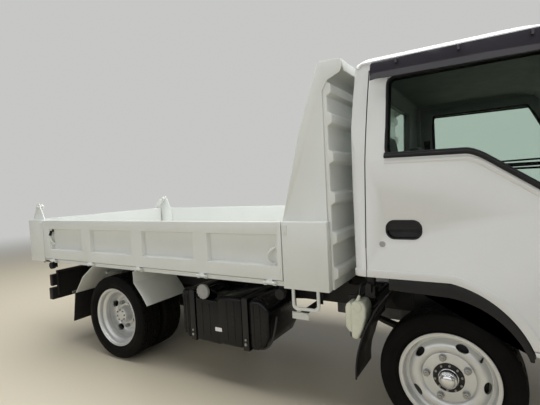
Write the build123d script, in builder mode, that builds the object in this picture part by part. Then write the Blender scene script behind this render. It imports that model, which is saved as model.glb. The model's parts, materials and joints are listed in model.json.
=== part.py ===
from build123d import *
import os

# Small tipper lorry with a cab over its engine and a low flat bed.
# Millimetres. +X forward, +Y to its left, +Z up. The origin is on the road,
# under the middle of its length. Outlines in side view are (x, z), and what
# stands on both sides is drawn on the right and mirrored.

os.makedirs("parts", exist_ok=True)

# Wheels and axles
wheelbase = 2480
front_axle_x = 1345
rear_axle_x = front_axle_x - wheelbase
tyre_radius = 340
tyre_width = 206
bead_radius = 222
rim_lip_radius = 234
rim_half_width = 82
rim_wall = 7
stud_count = 5
hub_radius = 70
spindle_radius = 26
front_wheel_y = 680
rear_wheel_y = 621
twin_spacing = 230
kingpin_y = 590
kingpin_radius = 16

# Ladder frame
rail_outer_y = 350
rail_top = 665
rail_height = 135
rail_flange = 60
rail_wall = 8
rail_front_x = 2215
packing_height = 18
rail_bottom = rail_top - rail_height
packing_top = rail_top + packing_height

# Tipping bed
side_y = 845
gate_thickness = 45
floor_top = 795
floor_plate = 8
beam_height = 42
sill_bottom = 750
sill_outer_y = 832
sill_width = 70
gate_bottom = 785
gate_top = 1135
gate_gap = 5
bed_rear_x = -2320
rear_post_length = 235
rear_post_front_x = bed_rear_x + rear_post_length
front_post_front_x = 766
front_post_length = 288
front_post_rear_x = front_post_front_x - front_post_length
headboard_back_x = 733
headboard_front_x = 778
headboard_top = 2020
gate_inner_y = side_y - gate_thickness
headboard_half_width = gate_inner_y - gate_gap
tailgate_thickness = 50
tailgate_arm_depth = 25
tailgate_half_width = 788
tilt_x = -2070
tilt_z = 610
tilt_pin_radius = 20
rail_rear_x = tilt_x - 34

# Gates
gate_hinge_y = side_y + 5
gate_hinge_z = 768
knuckle_radius = 9
tailgate_pin_x = -2200
tailgate_pin_z = 1262
tailgate_pin_radius = 12

# Hoist
hoist_base_x = -350
hoist_base_z = 575
hoist_eye_x = -1690
hoist_eye_z = 715
barrel_radius = 50
barrel_length = 1080
rod_radius = 28
hoist_pin_radius = 16
ear_reach = 160

# Cab
cab_rear_x = 905
cab_front_x = 2310
cab_bottom = 560
arch_top = 851
arch_band = 75
arch_lip = 38
lip_depth = 6
belt_z = 1462
screen_foot_x = 2205
screen_foot_z = 1330
screen_head_x = 1905
roof_edge_y = 745
roof_top = 2015
cab_wall = 50
tunnel_y = 430
tunnel_top = 715
engine_tunnel_y = 300
engine_tunnel_top = 960
floor_wall = 40
step_floor = 640
panel_gap = 6
pane = 5
cab_pivot_x = 2250
cab_pivot_z = 600
cab_pivot_radius = 20
door_front_x = cab_front_x - 192
door_hinge_x = door_front_x + 2
door_hinge_y = side_y + 2
door_knuckle_radius = 9
door_pin_radius = 4
handle_depth = 34
bumper_front_x = 2345
bumper_top = 520
bumper_bottom = 330

# Clearances
seat_gap = 0.3
run_gap = 0.3

# Seen from above, with x to the right of the middle and y forward
plan_view = Plane(origin=(0, 0, 0), x_dir=(0, -1, 0), z_dir=(0, 0, 1))


def outline(plane, points):
    # Straight-sided outline on a plane.
    with BuildSketch(plane) as drawn:
        with BuildLine():
            Polyline(points, close=True)
        make_face()
    return drawn.sketch


def curved_outline(plane, moves, inset=0, mirrored=False):
    # Outline of runs and arcs, set in all round. Each move gives the point it ends at,
    # after the point that an arc passes through. Mirrored outlines are a right half.
    with BuildSketch(plane) as drawn:
        with BuildLine():
            here = moves[0][0]
            for *through, there in moves[1:]:
                if through:
                    ThreePointArc(here, through[0], there)
                else:
                    Line(here, there)
                here = there
            if mirrored:
                mirror(about=Plane.YZ)
            else:
                Line(here, moves[0][0])
        make_face()
        if inset:
            offset(amount=-inset, kind=Kind.INTERSECTION)
    return drawn.sketch


def side_view(y, points):
    # Outline in side view, on the upright plane y to the right of the middle.
    return outline(Plane.XZ.offset(y), points)


def slab(x_low, x_high, y_low, y_high, z_low, z_high):
    # Rectangle seen from above between the given sides, and the height it rises.
    with BuildSketch(Plane.XY.offset(z_low)) as drawn:
        with Locations(((x_low + x_high) / 2, (y_low + y_high) / 2)):
            Rectangle(x_high - x_low, y_high - y_low)
    return {"to_extrude": drawn.sketch, "amount": z_high - z_low}


def bar_y(x, z, radius, y_low, y_high):
    # Round bar across the lorry, given by distances to the right of the middle.
    with BuildSketch(Plane.XZ.offset(y_low)) as drawn:
        with Locations((x, z)):
            Circle(radius)
    return {"to_extrude": drawn.sketch, "amount": y_high - y_low}


def round_bar(start, end, radius):
    # Round bar between two points.
    with BuildSketch(Plane(origin=start, z_dir=Vector(end) - Vector(start))) as drawn:
        Circle(radius)
    return {"to_extrude": drawn.sketch, "amount": (Vector(end) - Vector(start)).length}


def save(piece, name):
    piece.label = name
    export_step(piece, f"parts/{name}.step")


def save_pair(piece, name):
    save(mirror(piece, about=Plane.XZ), f"{name}_left")
    save(piece, f"{name}_right")


# Ladder frame: two channel rails, their cross members and two hinge tubes
rail_middle_y = rail_outer_y - rail_flange / 2
rail_middle_z = rail_top - rail_height / 2
cross_members = [  # x, depth along x, height
    (-1960, 60, 110),
    (-1600, 60, 110),
    (hoist_base_x + 70, 60, 110),
    (420, 60, 110),
    (1760, 60, 70),
    (2160, 60, 110),
]
hinge_tubes = [  # x, z, radius, bracket radius, half length
    (tilt_x, tilt_z, tilt_pin_radius, 45, rail_outer_y + 46),
    (cab_pivot_x, cab_pivot_z, cab_pivot_radius, 28, 398),
]
with BuildPart() as ladder_frame:
    with BuildSketch(Plane.YZ.offset(rail_rear_x)) as channel:
        with Locations((-rail_middle_y, rail_middle_z)):
            Rectangle(rail_flange, rail_height)
        with Locations((-rail_middle_y + rail_wall, rail_middle_z)):
            Rectangle(rail_flange, rail_height - 2 * rail_wall, mode=Mode.SUBTRACT)
    extrude(amount=rail_front_x - rail_rear_x)
    mirror(about=Plane.XZ)
    for x, depth, height in cross_members:
        top = rail_top - rail_wall
        half = rail_outer_y - rail_wall
        extrude(**slab(x - depth / 2, x + depth / 2, -half, half, top - height, top))
    # Rubber mounts that the back of the cab rests on
    for y in (-rail_outer_y, rail_outer_y - 45):
        extrude(**slab(930, 990, y, y + 45, rail_top, tunnel_top - seat_gap))
    for x, z, radius, bracket_radius, half in hinge_tubes:
        extrude(**bar_y(x, z, radius, -half, half))
        for y in (-rail_outer_y, rail_outer_y - rail_wall):
            extrude(**bar_y(x, z, bracket_radius, y, y + rail_wall))
            reach = rail_front_x - 40 if x > 0 else x + 60
            bracket = [(x, z - 20), (reach, z - 20), (reach, z + 20), (x, z + 20)]
            extrude(side_view(y, bracket), amount=rail_wall)
    # Hoist base: two plates on the cross member ahead of it
    for y in (-46, 34):
        extrude(side_view(y, [
            (hoist_base_x + 60, rail_bottom), (hoist_base_x + 60, rail_top - 10),
            (hoist_base_x, hoist_base_z + 40), (hoist_base_x - 34, hoist_base_z),
            (hoist_base_x, hoist_base_z - 40),
        ]), amount=12)
    extrude(**bar_y(hoist_base_x, hoist_base_z, hoist_pin_radius, -52, 52))
    # Packing strips that the bed rests on, along the tops of the rails
    for y in (-rail_outer_y, rail_outer_y - rail_flange):
        extrude(**slab(tilt_x + 26, 700, y, y + rail_flange, rail_top, packing_top))
save(ladder_frame.part, "ladder_frame")

# Engine and gearbox as one plain block
with BuildPart() as power_unit:
    extrude(**slab(1010, 1640, -240, 240, 440, 900))
    extrude(**slab(520, 1010, -130, 130, 380, 600))
    for x in (1120, 1520):
        mount_y = rail_outer_y - rail_wall
        extrude(**slab(x - 30, x + 30, -mount_y, mount_y, 560, 600))
save(power_unit.part, "power_unit")

# Front axle: a dropped beam with a boss for the kingpin at each end
knuckle_lug = 20
boss_half = 50
front_axle_z = tyre_radius
with BuildPart() as front_axle:
    extrude(
        outline(Plane.YZ.offset(front_axle_x - 32), [
            (-kingpin_y + 20, 300), (-400, 270), (400, 270), (kingpin_y - 20, 300),
            (kingpin_y - 20, 370), (400, 350), (-400, 350), (-kingpin_y + 20, 370),
        ]),
        amount=64,
    )
    with BuildSketch(Plane.XY.offset(front_axle_z - boss_half)):
        with Locations((front_axle_x, -kingpin_y), (front_axle_x, kingpin_y)):
            Circle(32)
    extrude(amount=2 * boss_half)
    with BuildSketch(Plane.XY.offset(front_axle_z - boss_half - knuckle_lug - 4)):
        with Locations((front_axle_x, -kingpin_y), (front_axle_x, kingpin_y)):
            Circle(kingpin_radius)
    extrude(amount=2 * (boss_half + knuckle_lug + 4))
save(front_axle.part, "front_axle")

# Steering knuckles: lugs above and below the boss, and the wheel's spindle
spindle_end_y = 700
lug_gap = 1
with BuildPart() as knuckle:
    lug_low = front_axle_z - boss_half - lug_gap - knuckle_lug
    lug_high = front_axle_z + boss_half + lug_gap
    for level in (lug_low, lug_high):
        with BuildSketch(Plane.XY.offset(level)):
            with Locations((front_axle_x, -kingpin_y)):
                Circle(34)
            with Locations((front_axle_x, -kingpin_y - 28)):
                Rectangle(60, 56)
        extrude(amount=knuckle_lug)
    extrude(**slab(front_axle_x - 40, front_axle_x + 40, -kingpin_y - 62, -kingpin_y - 42,
                   lug_low, lug_high + knuckle_lug))
    extrude(**bar_y(front_axle_x, front_axle_z, spindle_radius, kingpin_y + 60, spindle_end_y))
    with Locations(Plane.XY.offset(lug_low)):
        with Locations((front_axle_x, -kingpin_y)):
            Cylinder(kingpin_radius + run_gap, lug_high + knuckle_lug - lug_low,
                     align=(Align.CENTER, Align.CENTER, Align.MIN), mode=Mode.SUBTRACT)
save_pair(knuckle.part, "knuckle")

# Leaf springs: a curved pack over each axle end, with hangers under the rails
spring_y = rail_outer_y - rail_flange - 5
spring_width = 60
rear_tube_radius = 52
springs = [  # axle x, half length, top of the axle, pack height
    (front_axle_x, 520, 350, 34),
    (rear_axle_x, 560, tyre_radius + rear_tube_radius, 46),
]
with BuildPart() as leaf_springs:
    for x, half, seat, height in springs:
        rise = rail_bottom - 62 - seat
        with BuildSketch(Plane.XZ.offset(spring_y)):
            with BuildLine():
                ThreePointArc((x - half, seat + rise), (x, seat), (x + half, seat + rise))
                Line((x + half, seat + rise), (x + half, seat + rise + 14))
                ThreePointArc((x + half, seat + rise + 14), (x, seat + height), (x - half, seat + rise + 14))
                Line((x - half, seat + rise + 14), (x - half, seat + rise))
            make_face()
        extrude(amount=spring_width)
        for end in (x - half, x + half):
            extrude(side_view(spring_y, [
                (end - 30, rail_bottom), (end + 30, rail_bottom),
                (end + 20, seat + rise - 12), (end - 20, seat + rise - 12),
            ]), amount=spring_width)
    mirror(about=Plane.XZ)
save(leaf_springs.part, "leaf_springs")

# Rear axle: tube, differential and the stub ends that the twin wheels turn on
with BuildPart() as rear_axle:
    half = rear_wheel_y - 40
    extrude(**bar_y(rear_axle_x, tyre_radius, rear_tube_radius, -half, half))
    extrude(**bar_y(rear_axle_x, tyre_radius, spindle_radius, -rear_wheel_y - 60, rear_wheel_y + 60))
    with Locations((rear_axle_x, 0, tyre_radius)):
        Sphere(140)
        with Locations((150, 0, 8)):
            Cylinder(60, 60, rotation=(0, 90, 0))
save(rear_axle.part, "rear_axle")

# Propeller shaft from the gearbox to the differential
with BuildPart() as propeller_shaft:
    start = Vector(rear_axle_x + 184, 0, tyre_radius + 8)
    end = Vector(520 - seat_gap, 0, 480)
    with BuildSketch(Plane(origin=start, z_dir=end - start)):
        Circle(36)
    extrude(amount=(end - start).length - 4)
save(propeller_shaft.part, "propeller_shaft")


# Wheels. One tyre and one rim are drawn in section, across the wheel and out
# from its middle, and turned about the axle.
def wheel_plane(axle_x, y):
    # Across the wheel from y to the right of the middle, and up from its centre.
    return Plane(origin=(axle_x, -y, tyre_radius), x_dir=(0, -1, 0), z_dir=(-1, 0, 0))


def tyre(axle_x, y):
    half = tyre_width / 2
    bead = rim_half_width - 5 - seat_gap
    with BuildSketch(wheel_plane(axle_x, y)) as section:
        with BuildLine():
            right = [(bead, bead_radius + seat_gap), (bead, rim_lip_radius + 3),
                     (half - 6, bead_radius + 36), (half, bead_radius + 62), (half - 8, tyre_radius - 24),
                     (half - 26, tyre_radius - 5), (half - 50, tyre_radius)]
            Polyline(*right, *[(-u, v) for u, v in reversed(right)], close=True)
        make_face()
    return section.sketch


def rim(axle_x, y, outward):
    # Outward is 1 where the disc bulges away from the lorry and -1 where it is dished in.
    wall = rim_wall
    width = rim_half_width
    lip = rim_lip_radius
    seat = bead_radius
    well = seat - 24
    with BuildSketch(wheel_plane(axle_x, y)) as section:
        with BuildLine():
            Polyline((-width, lip), (-width, seat - wall), (-width + 34, seat - wall),
                     (-width + 48, well - wall), (width - 48, well - wall), (width - 34, seat - wall),
                     (width, seat - wall), (width, lip), (width - 5, lip), (width - 5, seat),
                     (width - 32, seat), (width - 44, well), (-width + 44, well),
                     (-width + 32, seat), (-width + 5, seat), (-width + 5, lip), close=True)
        make_face()
        with BuildLine():
            Polyline(*[(outward * u, v) for u, v in [
                (54, seat - wall + 1), (62, 190), (66, 160), (52, 128), (52, hub_radius),
                (40, hub_radius), (40, 134), (53, 160), (50, 184), (42, seat - wall + 1),
            ]], close=True)
        make_face()
    return section.sketch


def hand_holes(axle_x, y):
    # Five oval holes round the disc, cut right through it.
    with BuildSketch(Plane.XZ.offset(y)) as holes:
        with Locations((axle_x, tyre_radius)):
            with PolarLocations(173, stud_count, start_angle=-4):
                Ellipse(17, 31)
    return holes.sketch


front_hub_out = 108
rear_hub_out = twin_spacing / 2 - 45
hub_sections = {  # distance out along the axle, radius
    "front": [(-24, spindle_radius + run_gap), (-24, 140), (20, 150), (20, hub_radius),
              (60, hub_radius), (60, 46), (front_hub_out, 38), (front_hub_out + 12, 22),
              (front_hub_out + 12, 0), (30, 0), (30, spindle_radius + run_gap)],
    "rear": [(-36, rear_tube_radius + 5), (-150, rear_tube_radius + 5), (-150, 150), (-20, 155), (-8, 100),
             (-8, hub_radius), (rear_hub_out, hub_radius), (rear_hub_out, 0), (rear_hub_out - 4, 0),
             (rear_hub_out - 4, spindle_radius + run_gap), (-36, spindle_radius + run_gap)],
}
with BuildPart() as front_tyre:
    revolve(tyre(front_axle_x, front_wheel_y), axis=Axis((front_axle_x, 0, tyre_radius), (0, 1, 0)))
save_pair(front_tyre.part, "front_tyre")

with BuildPart() as front_rim:
    axle = Axis((front_axle_x, 0, tyre_radius), (0, 1, 0))
    revolve(rim(front_axle_x, front_wheel_y, 1), axis=axle)
    extrude(hand_holes(front_axle_x, front_wheel_y), amount=rim_half_width, mode=Mode.SUBTRACT)
    revolve(outline(wheel_plane(front_axle_x, front_wheel_y), hub_sections["front"]), axis=axle)
save_pair(front_rim.part, "front_rim")

rear_wheels_y = (rear_wheel_y - twin_spacing / 2, rear_wheel_y + twin_spacing / 2)
rear_line = Axis((rear_axle_x, 0, tyre_radius), (0, 1, 0))
with BuildPart() as rear_tyres:
    for y in rear_wheels_y:
        revolve(tyre(rear_axle_x, y), axis=rear_line)
save_pair(rear_tyres.part, "rear_tyres")

with BuildPart() as rear_rims:
    for y, outward in zip(rear_wheels_y, (1, -1)):
        revolve(rim(rear_axle_x, y, outward), axis=rear_line)
    extrude(hand_holes(rear_axle_x, rear_wheels_y[0]), amount=twin_spacing, mode=Mode.SUBTRACT)
    revolve(outline(wheel_plane(rear_axle_x, rear_wheel_y), hub_sections["rear"]), axis=rear_line)
save_pair(rear_rims.part, "rear_rims")

# Fuel tank on the right: a ribbed moulding with a dip for its filler
tank_rear_x = -400
tank_front_x = 330
tank_inner_y = rail_outer_y + 45
tank_outer_y = 800
tank_bottom = 290
tank_top = 640
filler_x = -190
straps_x = (tank_rear_x + 100, tank_front_x - 177)
grooves_x = (-350, -130, 60, 240)
with BuildPart() as fuel_tank:
    extrude(side_view(tank_inner_y, [
        (tank_rear_x, tank_bottom + 50), (tank_rear_x + 60, tank_bottom), (tank_front_x - 90, tank_bottom),
        (tank_front_x, tank_bottom + 90), (tank_front_x, tank_top - 60), (tank_front_x - 60, tank_top - 12),
        (filler_x + 150, tank_top - 12), (filler_x + 110, tank_top - 50), (filler_x - 48, tank_top - 50),
        (filler_x - 78, tank_top), (tank_rear_x, tank_top),
    ]), amount=tank_outer_y - tank_inner_y)
    long_edges = fuel_tank.edges().filter_by(Axis.Y)
    fillet(long_edges, 16)
    fillet(fuel_tank.faces().sort_by(Axis.Y)[0].outer_wire().edges(), 24)
    for x in grooves_x:
        extrude(**slab(x - 6, x + 6, -tank_outer_y - 10, -tank_outer_y + 12, tank_bottom - 5, tank_top + 5),
                mode=Mode.SUBTRACT)
save(fuel_tank.part, "fuel_tank")

# Straps round the tank, carried by brackets on the rail
strap = 4
with BuildPart() as tank_straps:
    for x in straps_x:
        low = tank_bottom - seat_gap
        high = tank_top + seat_gap if x < filler_x else tank_top - 12 + seat_gap
        extrude(**slab(x - 22, x + 22, -tank_outer_y - seat_gap - strap, -rail_outer_y, low - strap, low))
        extrude(**slab(x - 22, x + 22, -tank_outer_y - seat_gap - strap, -rail_outer_y, high, high + strap))
        extrude(**slab(x - 22, x + 22, -tank_outer_y - seat_gap - strap, -tank_outer_y - seat_gap, low, high))
        extrude(**slab(x - 22, x + 22, -tank_inner_y + 2, -rail_outer_y, low, high))
save(tank_straps.part, "tank_straps")

with BuildPart() as filler_cap:
    with BuildSketch(Plane.XZ.offset(tank_outer_y - 110)):
        with Locations((filler_x, tank_top + 5)):
            Circle(30)
    extrude(amount=100)
    extrude(**bar_y(filler_x, tank_top + 5, 50, tank_outer_y - 26, tank_outer_y + 8))
    extrude(side_view(tank_outer_y - 105, [
        (filler_x - 18, tank_top + 5), (filler_x + 18, tank_top + 5),
        (filler_x + 30, tank_top - 50 + seat_gap), (filler_x + 4, tank_top - 50 + seat_gap),
    ]), amount=40)
save(filler_cap.part, "filler_cap")

# Battery box, air tank side, and silencer on the left
with BuildPart() as battery_box:
    extrude(**slab(430, 720, rail_outer_y, 700, 400, 620))
    fillet(battery_box.edges().filter_by(Axis.Z), 12)
save(battery_box.part, "battery_box")

with BuildPart() as exhaust:
    with BuildSketch(Plane.YZ.offset(-420)):
        with Locations((520, 430)):
            Circle(95)
    extrude(amount=560)
    with BuildSketch(Plane.YZ.offset(-720)):
        with Locations((520, 430)):
            Circle(28)
    extrude(amount=1120)
    for x in (-300, 20):
        extrude(**slab(x - 15, x + 15, rail_outer_y, 560, 520, 560))
save(exhaust.part, "exhaust")

# Coolant bottle behind the right of the cab, on a bracket from the rail
with BuildPart() as coolant_bottle:
    for z, x, width in ((418, 838, 74), (560, 852, 112), (680, 868, 140)):
        with BuildSketch(Plane.XY.offset(z)):
            with Locations((x, -700)):
                RectangleRounded(width, 130, 24)
    loft(ruled=True)
    extrude(**slab(850, 886, -730, -670, 680, 718))
    extrude(**slab(810, 880, -660, -rail_outer_y, 560, 575))
save(coolant_bottle.part, "coolant_bottle")

# Black liners and flaps behind the front wheels
liner_y = (560, 790)
with BuildPart() as wheel_liners:
    with BuildSketch(Plane.XZ.offset(liner_y[0])):
        with BuildLine():
            ThreePointArc((1060, 770), (960, 640), (900, 360))
            Line((900, 360), (888, 250))
            Line((888, 250), (880, 250))
            Line((880, 250), (892, 360))
            ThreePointArc((892, 360), (952, 642), (1052, 776))
            Line((1052, 776), (1060, 770))
        make_face()
    extrude(amount=liner_y[1] - liner_y[0])
    extrude(**slab(905, 960, -liner_y[0], -rail_outer_y, 540, 570))
    mirror(about=Plane.XZ)
save(wheel_liners.part, "wheel_liners")

# Rear mudguards: folded plates ahead of and behind each pair of wheels
guard_y = (402, 826)
guard = 4
guards = [  # outline of the outer face from top to bottom
    [(-1402, 735), (-1538, 642), (-1657, 491)],
    [(-885, 735), (-883, 647), (-791, 545), (-746, 479)],
]
with BuildPart() as rear_mudguards:
    for points, away in zip(guards, (-1, 1)):
        back = [(x + away * guard, z + guard) for x, z in reversed(points)]
        extrude(side_view(guard_y[0], points + back), amount=guard_y[1] - guard_y[0])
    for x in (-1530, -880):
        extrude(**slab(x - 12, x + 12, -guard_y[0] - 200, -rail_outer_y, 620, 640))
    mirror(about=Plane.XZ)
save(rear_mudguards.part, "rear_mudguards")

with BuildPart() as mud_flaps:
    extrude(side_view(guard_y[0], [
        (-1661.3, 495), (-1670, 506), (-1722, 229), (-1714, 229),
    ]), amount=guard_y[1] - guard_y[0])
    mirror(about=Plane.XZ)
save(mud_flaps.part, "mud_flaps")

# Rear under-run bar on two legs, and the lamps above it
with BuildPart() as rear_bumper:
    extrude(**slab(-2154, -2100, -790, 790, 370, 480))
    for y in (-320, 280):
        extrude(**slab(-2100, -2060, y, y + 40, 380, rail_bottom))
save(rear_bumper.part, "rear_bumper")

with BuildPart() as tail_lamps:
    extrude(**slab(-2140, -2096, -785, -520, 500, 610))
    extrude(**slab(-2110, -2096, -560, -rail_outer_y, 505, 545))
    mirror(about=Plane.XZ)
save(tail_lamps.part, "tail_lamps")

# Front bumper, flat in the middle and wrapped round the corners
bumper_rear_x = 1800
bumper_wall = 55
bumper_plan = [  # from above, right half, from the middle of the back
    [(0, bumper_rear_x)], [(side_y, bumper_rear_x)], [(side_y, 2120)], [(side_y - 40, 2250), (700, 2312)],
    [(520, bumper_front_x - 7), (300, bumper_front_x)], [(0, bumper_front_x)],
]
with BuildPart() as front_bumper:
    bumper_height = bumper_top - bumper_bottom
    extrude(curved_outline(plan_view.offset(bumper_bottom), bumper_plan, 0, True), amount=bumper_height)
    inside = [(side_y - bumper_wall, bumper_rear_x - 10), (side_y - bumper_wall, 2110), (side_y - 95, 2210),
              (660, 2258), (300, bumper_front_x - bumper_wall)]
    inside += [(-x, y) for x, y in reversed(inside)]
    extrude(outline(plan_view.offset(bumper_bottom), inside), amount=bumper_height, mode=Mode.SUBTRACT)
    for y in (-rail_outer_y, rail_outer_y - 40):
        extrude(**slab(2150, bumper_front_x - bumper_wall, y, y + 40, 400, bumper_top))
        extrude(**slab(2150, rail_front_x, y, y + 40, 400, rail_bottom))
save(front_bumper.part, "front_bumper")

# Bed floor: plate on its cross beams
sill_top = gate_bottom - gate_gap - 2
gate_rear_x = rear_post_front_x + gate_gap
gate_front_x = front_post_rear_x - gate_gap
hinges_x = (gate_rear_x + 140, -1387, -795, -157, gate_front_x - 92)
hinge_half = 20
knuckle_gap = 0.3
floor_rear_x = bed_rear_x + tailgate_thickness + gate_gap
floor_low = floor_top - floor_plate
beam_low = floor_low - beam_height
beams_x = (-2235, -1760, -1540, -1200, -860, -520, -180, 160, 500)
beam_half_length = sill_outer_y - sill_width
ear_y = rail_outer_y + 12
with BuildPart() as bed_floor:
    extrude(**slab(floor_rear_x, headboard_back_x, -gate_inner_y + gate_gap, gate_inner_y - gate_gap,
                   floor_low, floor_top))
    for x in beams_x:
        extrude(**slab(x - 25, x + 25, -beam_half_length, beam_half_length, beam_low, floor_low))
save(bed_floor.part, "bed_floor")

# Long members under the floor, with the ears that the bed and the hoist turn on
with BuildPart() as bed_members:
    for y in (-rail_outer_y, rail_outer_y - rail_flange):
        extrude(**slab(floor_rear_x + 60, 690, y, y + rail_flange, packing_top + seat_gap, beam_low))
    for y in (-ear_y - 20, ear_y):
        extrude(side_view(y, [
            (tilt_x - 45, beam_low), (tilt_x - 45, tilt_z - 20), (tilt_x - 20, tilt_z - 42),
            (tilt_x + 20, tilt_z - 42), (tilt_x + 45, tilt_z - 20), (tilt_x + 90, beam_low),
        ]), amount=20)
    extrude(**slab(tilt_x - 45, tilt_x + 90, -ear_y - 20, ear_y + 20, beam_low - 20, beam_low))
    extrude(**bar_y(tilt_x, tilt_z, tilt_pin_radius + run_gap, -ear_y - 20, ear_y + 20), mode=Mode.SUBTRACT)
    # The hoist pushes on two cross pieces between the members, with an ear on each side of its eye
    for x in (hoist_eye_x - ear_reach, hoist_eye_x + ear_reach - 60):
        extrude(**slab(x, x + 60, -rail_outer_y, rail_outer_y, beam_low - 12, beam_low))
    for y in (-44, 32):
        extrude(side_view(y, [
            (hoist_eye_x - ear_reach, beam_low), (hoist_eye_x - 40, hoist_eye_z - 30),
            (hoist_eye_x + 40, hoist_eye_z - 30), (hoist_eye_x + ear_reach, beam_low),
        ]), amount=12)
save(bed_members.part, "bed_members")

# Side sills on the ends of the beams, with the outer halves of the side gates' hinges
with BuildPart() as bed_sills:
    extrude(**slab(rear_post_front_x, front_post_rear_x, -sill_outer_y, -beam_half_length,
                   sill_bottom, sill_top))
    for x in hinges_x:
        for end, side in ((x - hinge_half - knuckle_gap, -1), (x + hinge_half + knuckle_gap, 1)):
            low, high = sorted((end, end + side * 20))
            extrude(**slab(low, high, -gate_hinge_y, -sill_outer_y, gate_hinge_z - 6, gate_hinge_z + 6))
            with BuildSketch(Plane.YZ.offset(low)):
                with Locations((-gate_hinge_y, gate_hinge_z)):
                    Circle(knuckle_radius)
            extrude(amount=high - low)
    mirror(about=Plane.XZ)
save(bed_sills.part, "bed_sills")

# Headboard: ribbed plate with a hood over the gap to the cab
rib_heights = (0.037, 0.2, 0.384, 0.571, 0.743, 0.878)  # as shares of the board's height above the floor
hood_front_x = 893
with BuildPart() as headboard:
    extrude(**slab(headboard_back_x, headboard_front_x, -headboard_half_width, headboard_half_width,
                   floor_low - beam_height, headboard_top - 60))
    for share in rib_heights:
        z = floor_top + share * (headboard_top - floor_top)
        extrude(side_view(-headboard_half_width, [
            (headboard_front_x, z - 40), (headboard_front_x + 26, z - 24),
            (headboard_front_x + 26, z + 24), (headboard_front_x, z + 40),
        ]), amount=2 * headboard_half_width)
    extrude(side_view(-headboard_half_width, [
        (headboard_back_x, headboard_top - 60), (headboard_back_x + 8, headboard_top),
        (hood_front_x - 20, headboard_top - 6), (hood_front_x - 10, headboard_top - 40),
        (hood_front_x, headboard_top - 74), (hood_front_x - 9, headboard_top - 78),
        (hood_front_x - 26, headboard_top - 22), (headboard_front_x, headboard_top - 60),
    ]), amount=2 * headboard_half_width)
save(headboard.part, "headboard")

post_bottom = 740
# Front posts: a box each side with the tapered side plate above it
with BuildPart() as front_posts:
    extrude(**slab(front_post_rear_x, front_post_front_x, -side_y, -headboard_half_width,
                   post_bottom, gate_top))
    extrude(side_view(headboard_half_width, [
        (front_post_rear_x - 12, gate_top), (605, headboard_top - 357), (735, headboard_top + 3),
        (868, headboard_top - 2), (876, headboard_top - 45), (862, headboard_top - 76),
        (790, headboard_top - 105), (756, headboard_top - 160), (756, gate_top),
    ]), amount=8)
    mirror(about=Plane.XZ)
save(front_posts.part, "front_posts")

# Rear posts, with the brackets that the tailgate hangs from
with BuildPart() as rear_posts:
    extrude(**slab(bed_rear_x, rear_post_front_x, -side_y, -gate_inner_y, sill_bottom, gate_top + 4))
    extrude(side_view(gate_inner_y, [
        (-2300, gate_top + 4), (-2110, gate_top + 4), (tailgate_pin_x + 30, tailgate_pin_z),
        (tailgate_pin_x + 16, tailgate_pin_z + 30), (tailgate_pin_x - 16, tailgate_pin_z + 30),
        (tailgate_pin_x - 40, tailgate_pin_z),
    ]), amount=10)
    extrude(**bar_y(tailgate_pin_x, tailgate_pin_z, tailgate_pin_radius,
                    gate_inner_y - 40, gate_inner_y + 22))
    extrude(**slab(floor_rear_x, rear_post_front_x, -gate_inner_y, -gate_inner_y + 10,
                   floor_low - 20, floor_low))
    mirror(about=Plane.XZ)
save(rear_posts.part, "rear_posts")

# Steps under the front posts: a bent bar each side
step_bar = 10
step_y = side_y - 25
step_bar_z = 622
step_ends_x = (527, 687)
with BuildPart() as bed_steps:
    with BuildLine() as step_path:
        rear, front = step_ends_x
        FilletPolyline((rear, -step_y, post_bottom), (rear, -step_y, step_bar_z),
                       (front, -step_y, step_bar_z), (front, -step_y, post_bottom), radius=22)
    with BuildSketch(Plane(origin=step_path.line @ 0, z_dir=step_path.line % 0)):
        Circle(step_bar)
    sweep()
    mirror(about=Plane.XZ)
save(bed_steps.part, "bed_steps")

# Rubber stops that a lowered side gate rests on
stop_radius = 31
stop_face_y = gate_hinge_y - 1
with BuildPart() as gate_stops:
    for x, low in ((446, 701), (-1986, 718)):
        extrude(**bar_y(x, low, stop_radius, stop_face_y - 34, stop_face_y))
        extrude(**slab(x - 20, x + 20, -stop_face_y + 34, -stop_face_y + 54, low - 20, sill_bottom))
    mirror(about=Plane.XZ)
save(gate_stops.part, "gate_stops")

# Side gates: pressed panels that fold down about hinges along the sill
panels = [  # rear edge and front edge of each recess between the uprights
    (gate_rear_x + 102, -1494),
    (-1376, -858),
    (-740, -224),
    (-100, gate_front_x - 32),
]
recess_depth = 34
recess_low = 868
recess_high = 1060
with BuildPart() as side_gate:
    extrude(**slab(gate_rear_x, gate_front_x, -side_y, -gate_inner_y, gate_bottom, gate_top))
    for rear, front in panels:
        with BuildSketch(Plane.XZ.offset(side_y)):
            with Locations(((rear + front) / 2, (recess_low + recess_high) / 2)):
                Rectangle(front - rear, recess_high - recess_low)
        extrude(amount=-recess_depth, taper=12, mode=Mode.SUBTRACT)
    for x in hinges_x:
        extrude(**slab(x - hinge_half, x + hinge_half, -gate_hinge_y, -sill_outer_y - gate_gap,
                       gate_hinge_z, gate_bottom))
        with BuildSketch(Plane.YZ.offset(x - hinge_half)):
            with Locations((-gate_hinge_y, gate_hinge_z)):
                Circle(knuckle_radius)
        extrude(amount=2 * hinge_half)
save_pair(side_gate.part, "side_gate")

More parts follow.
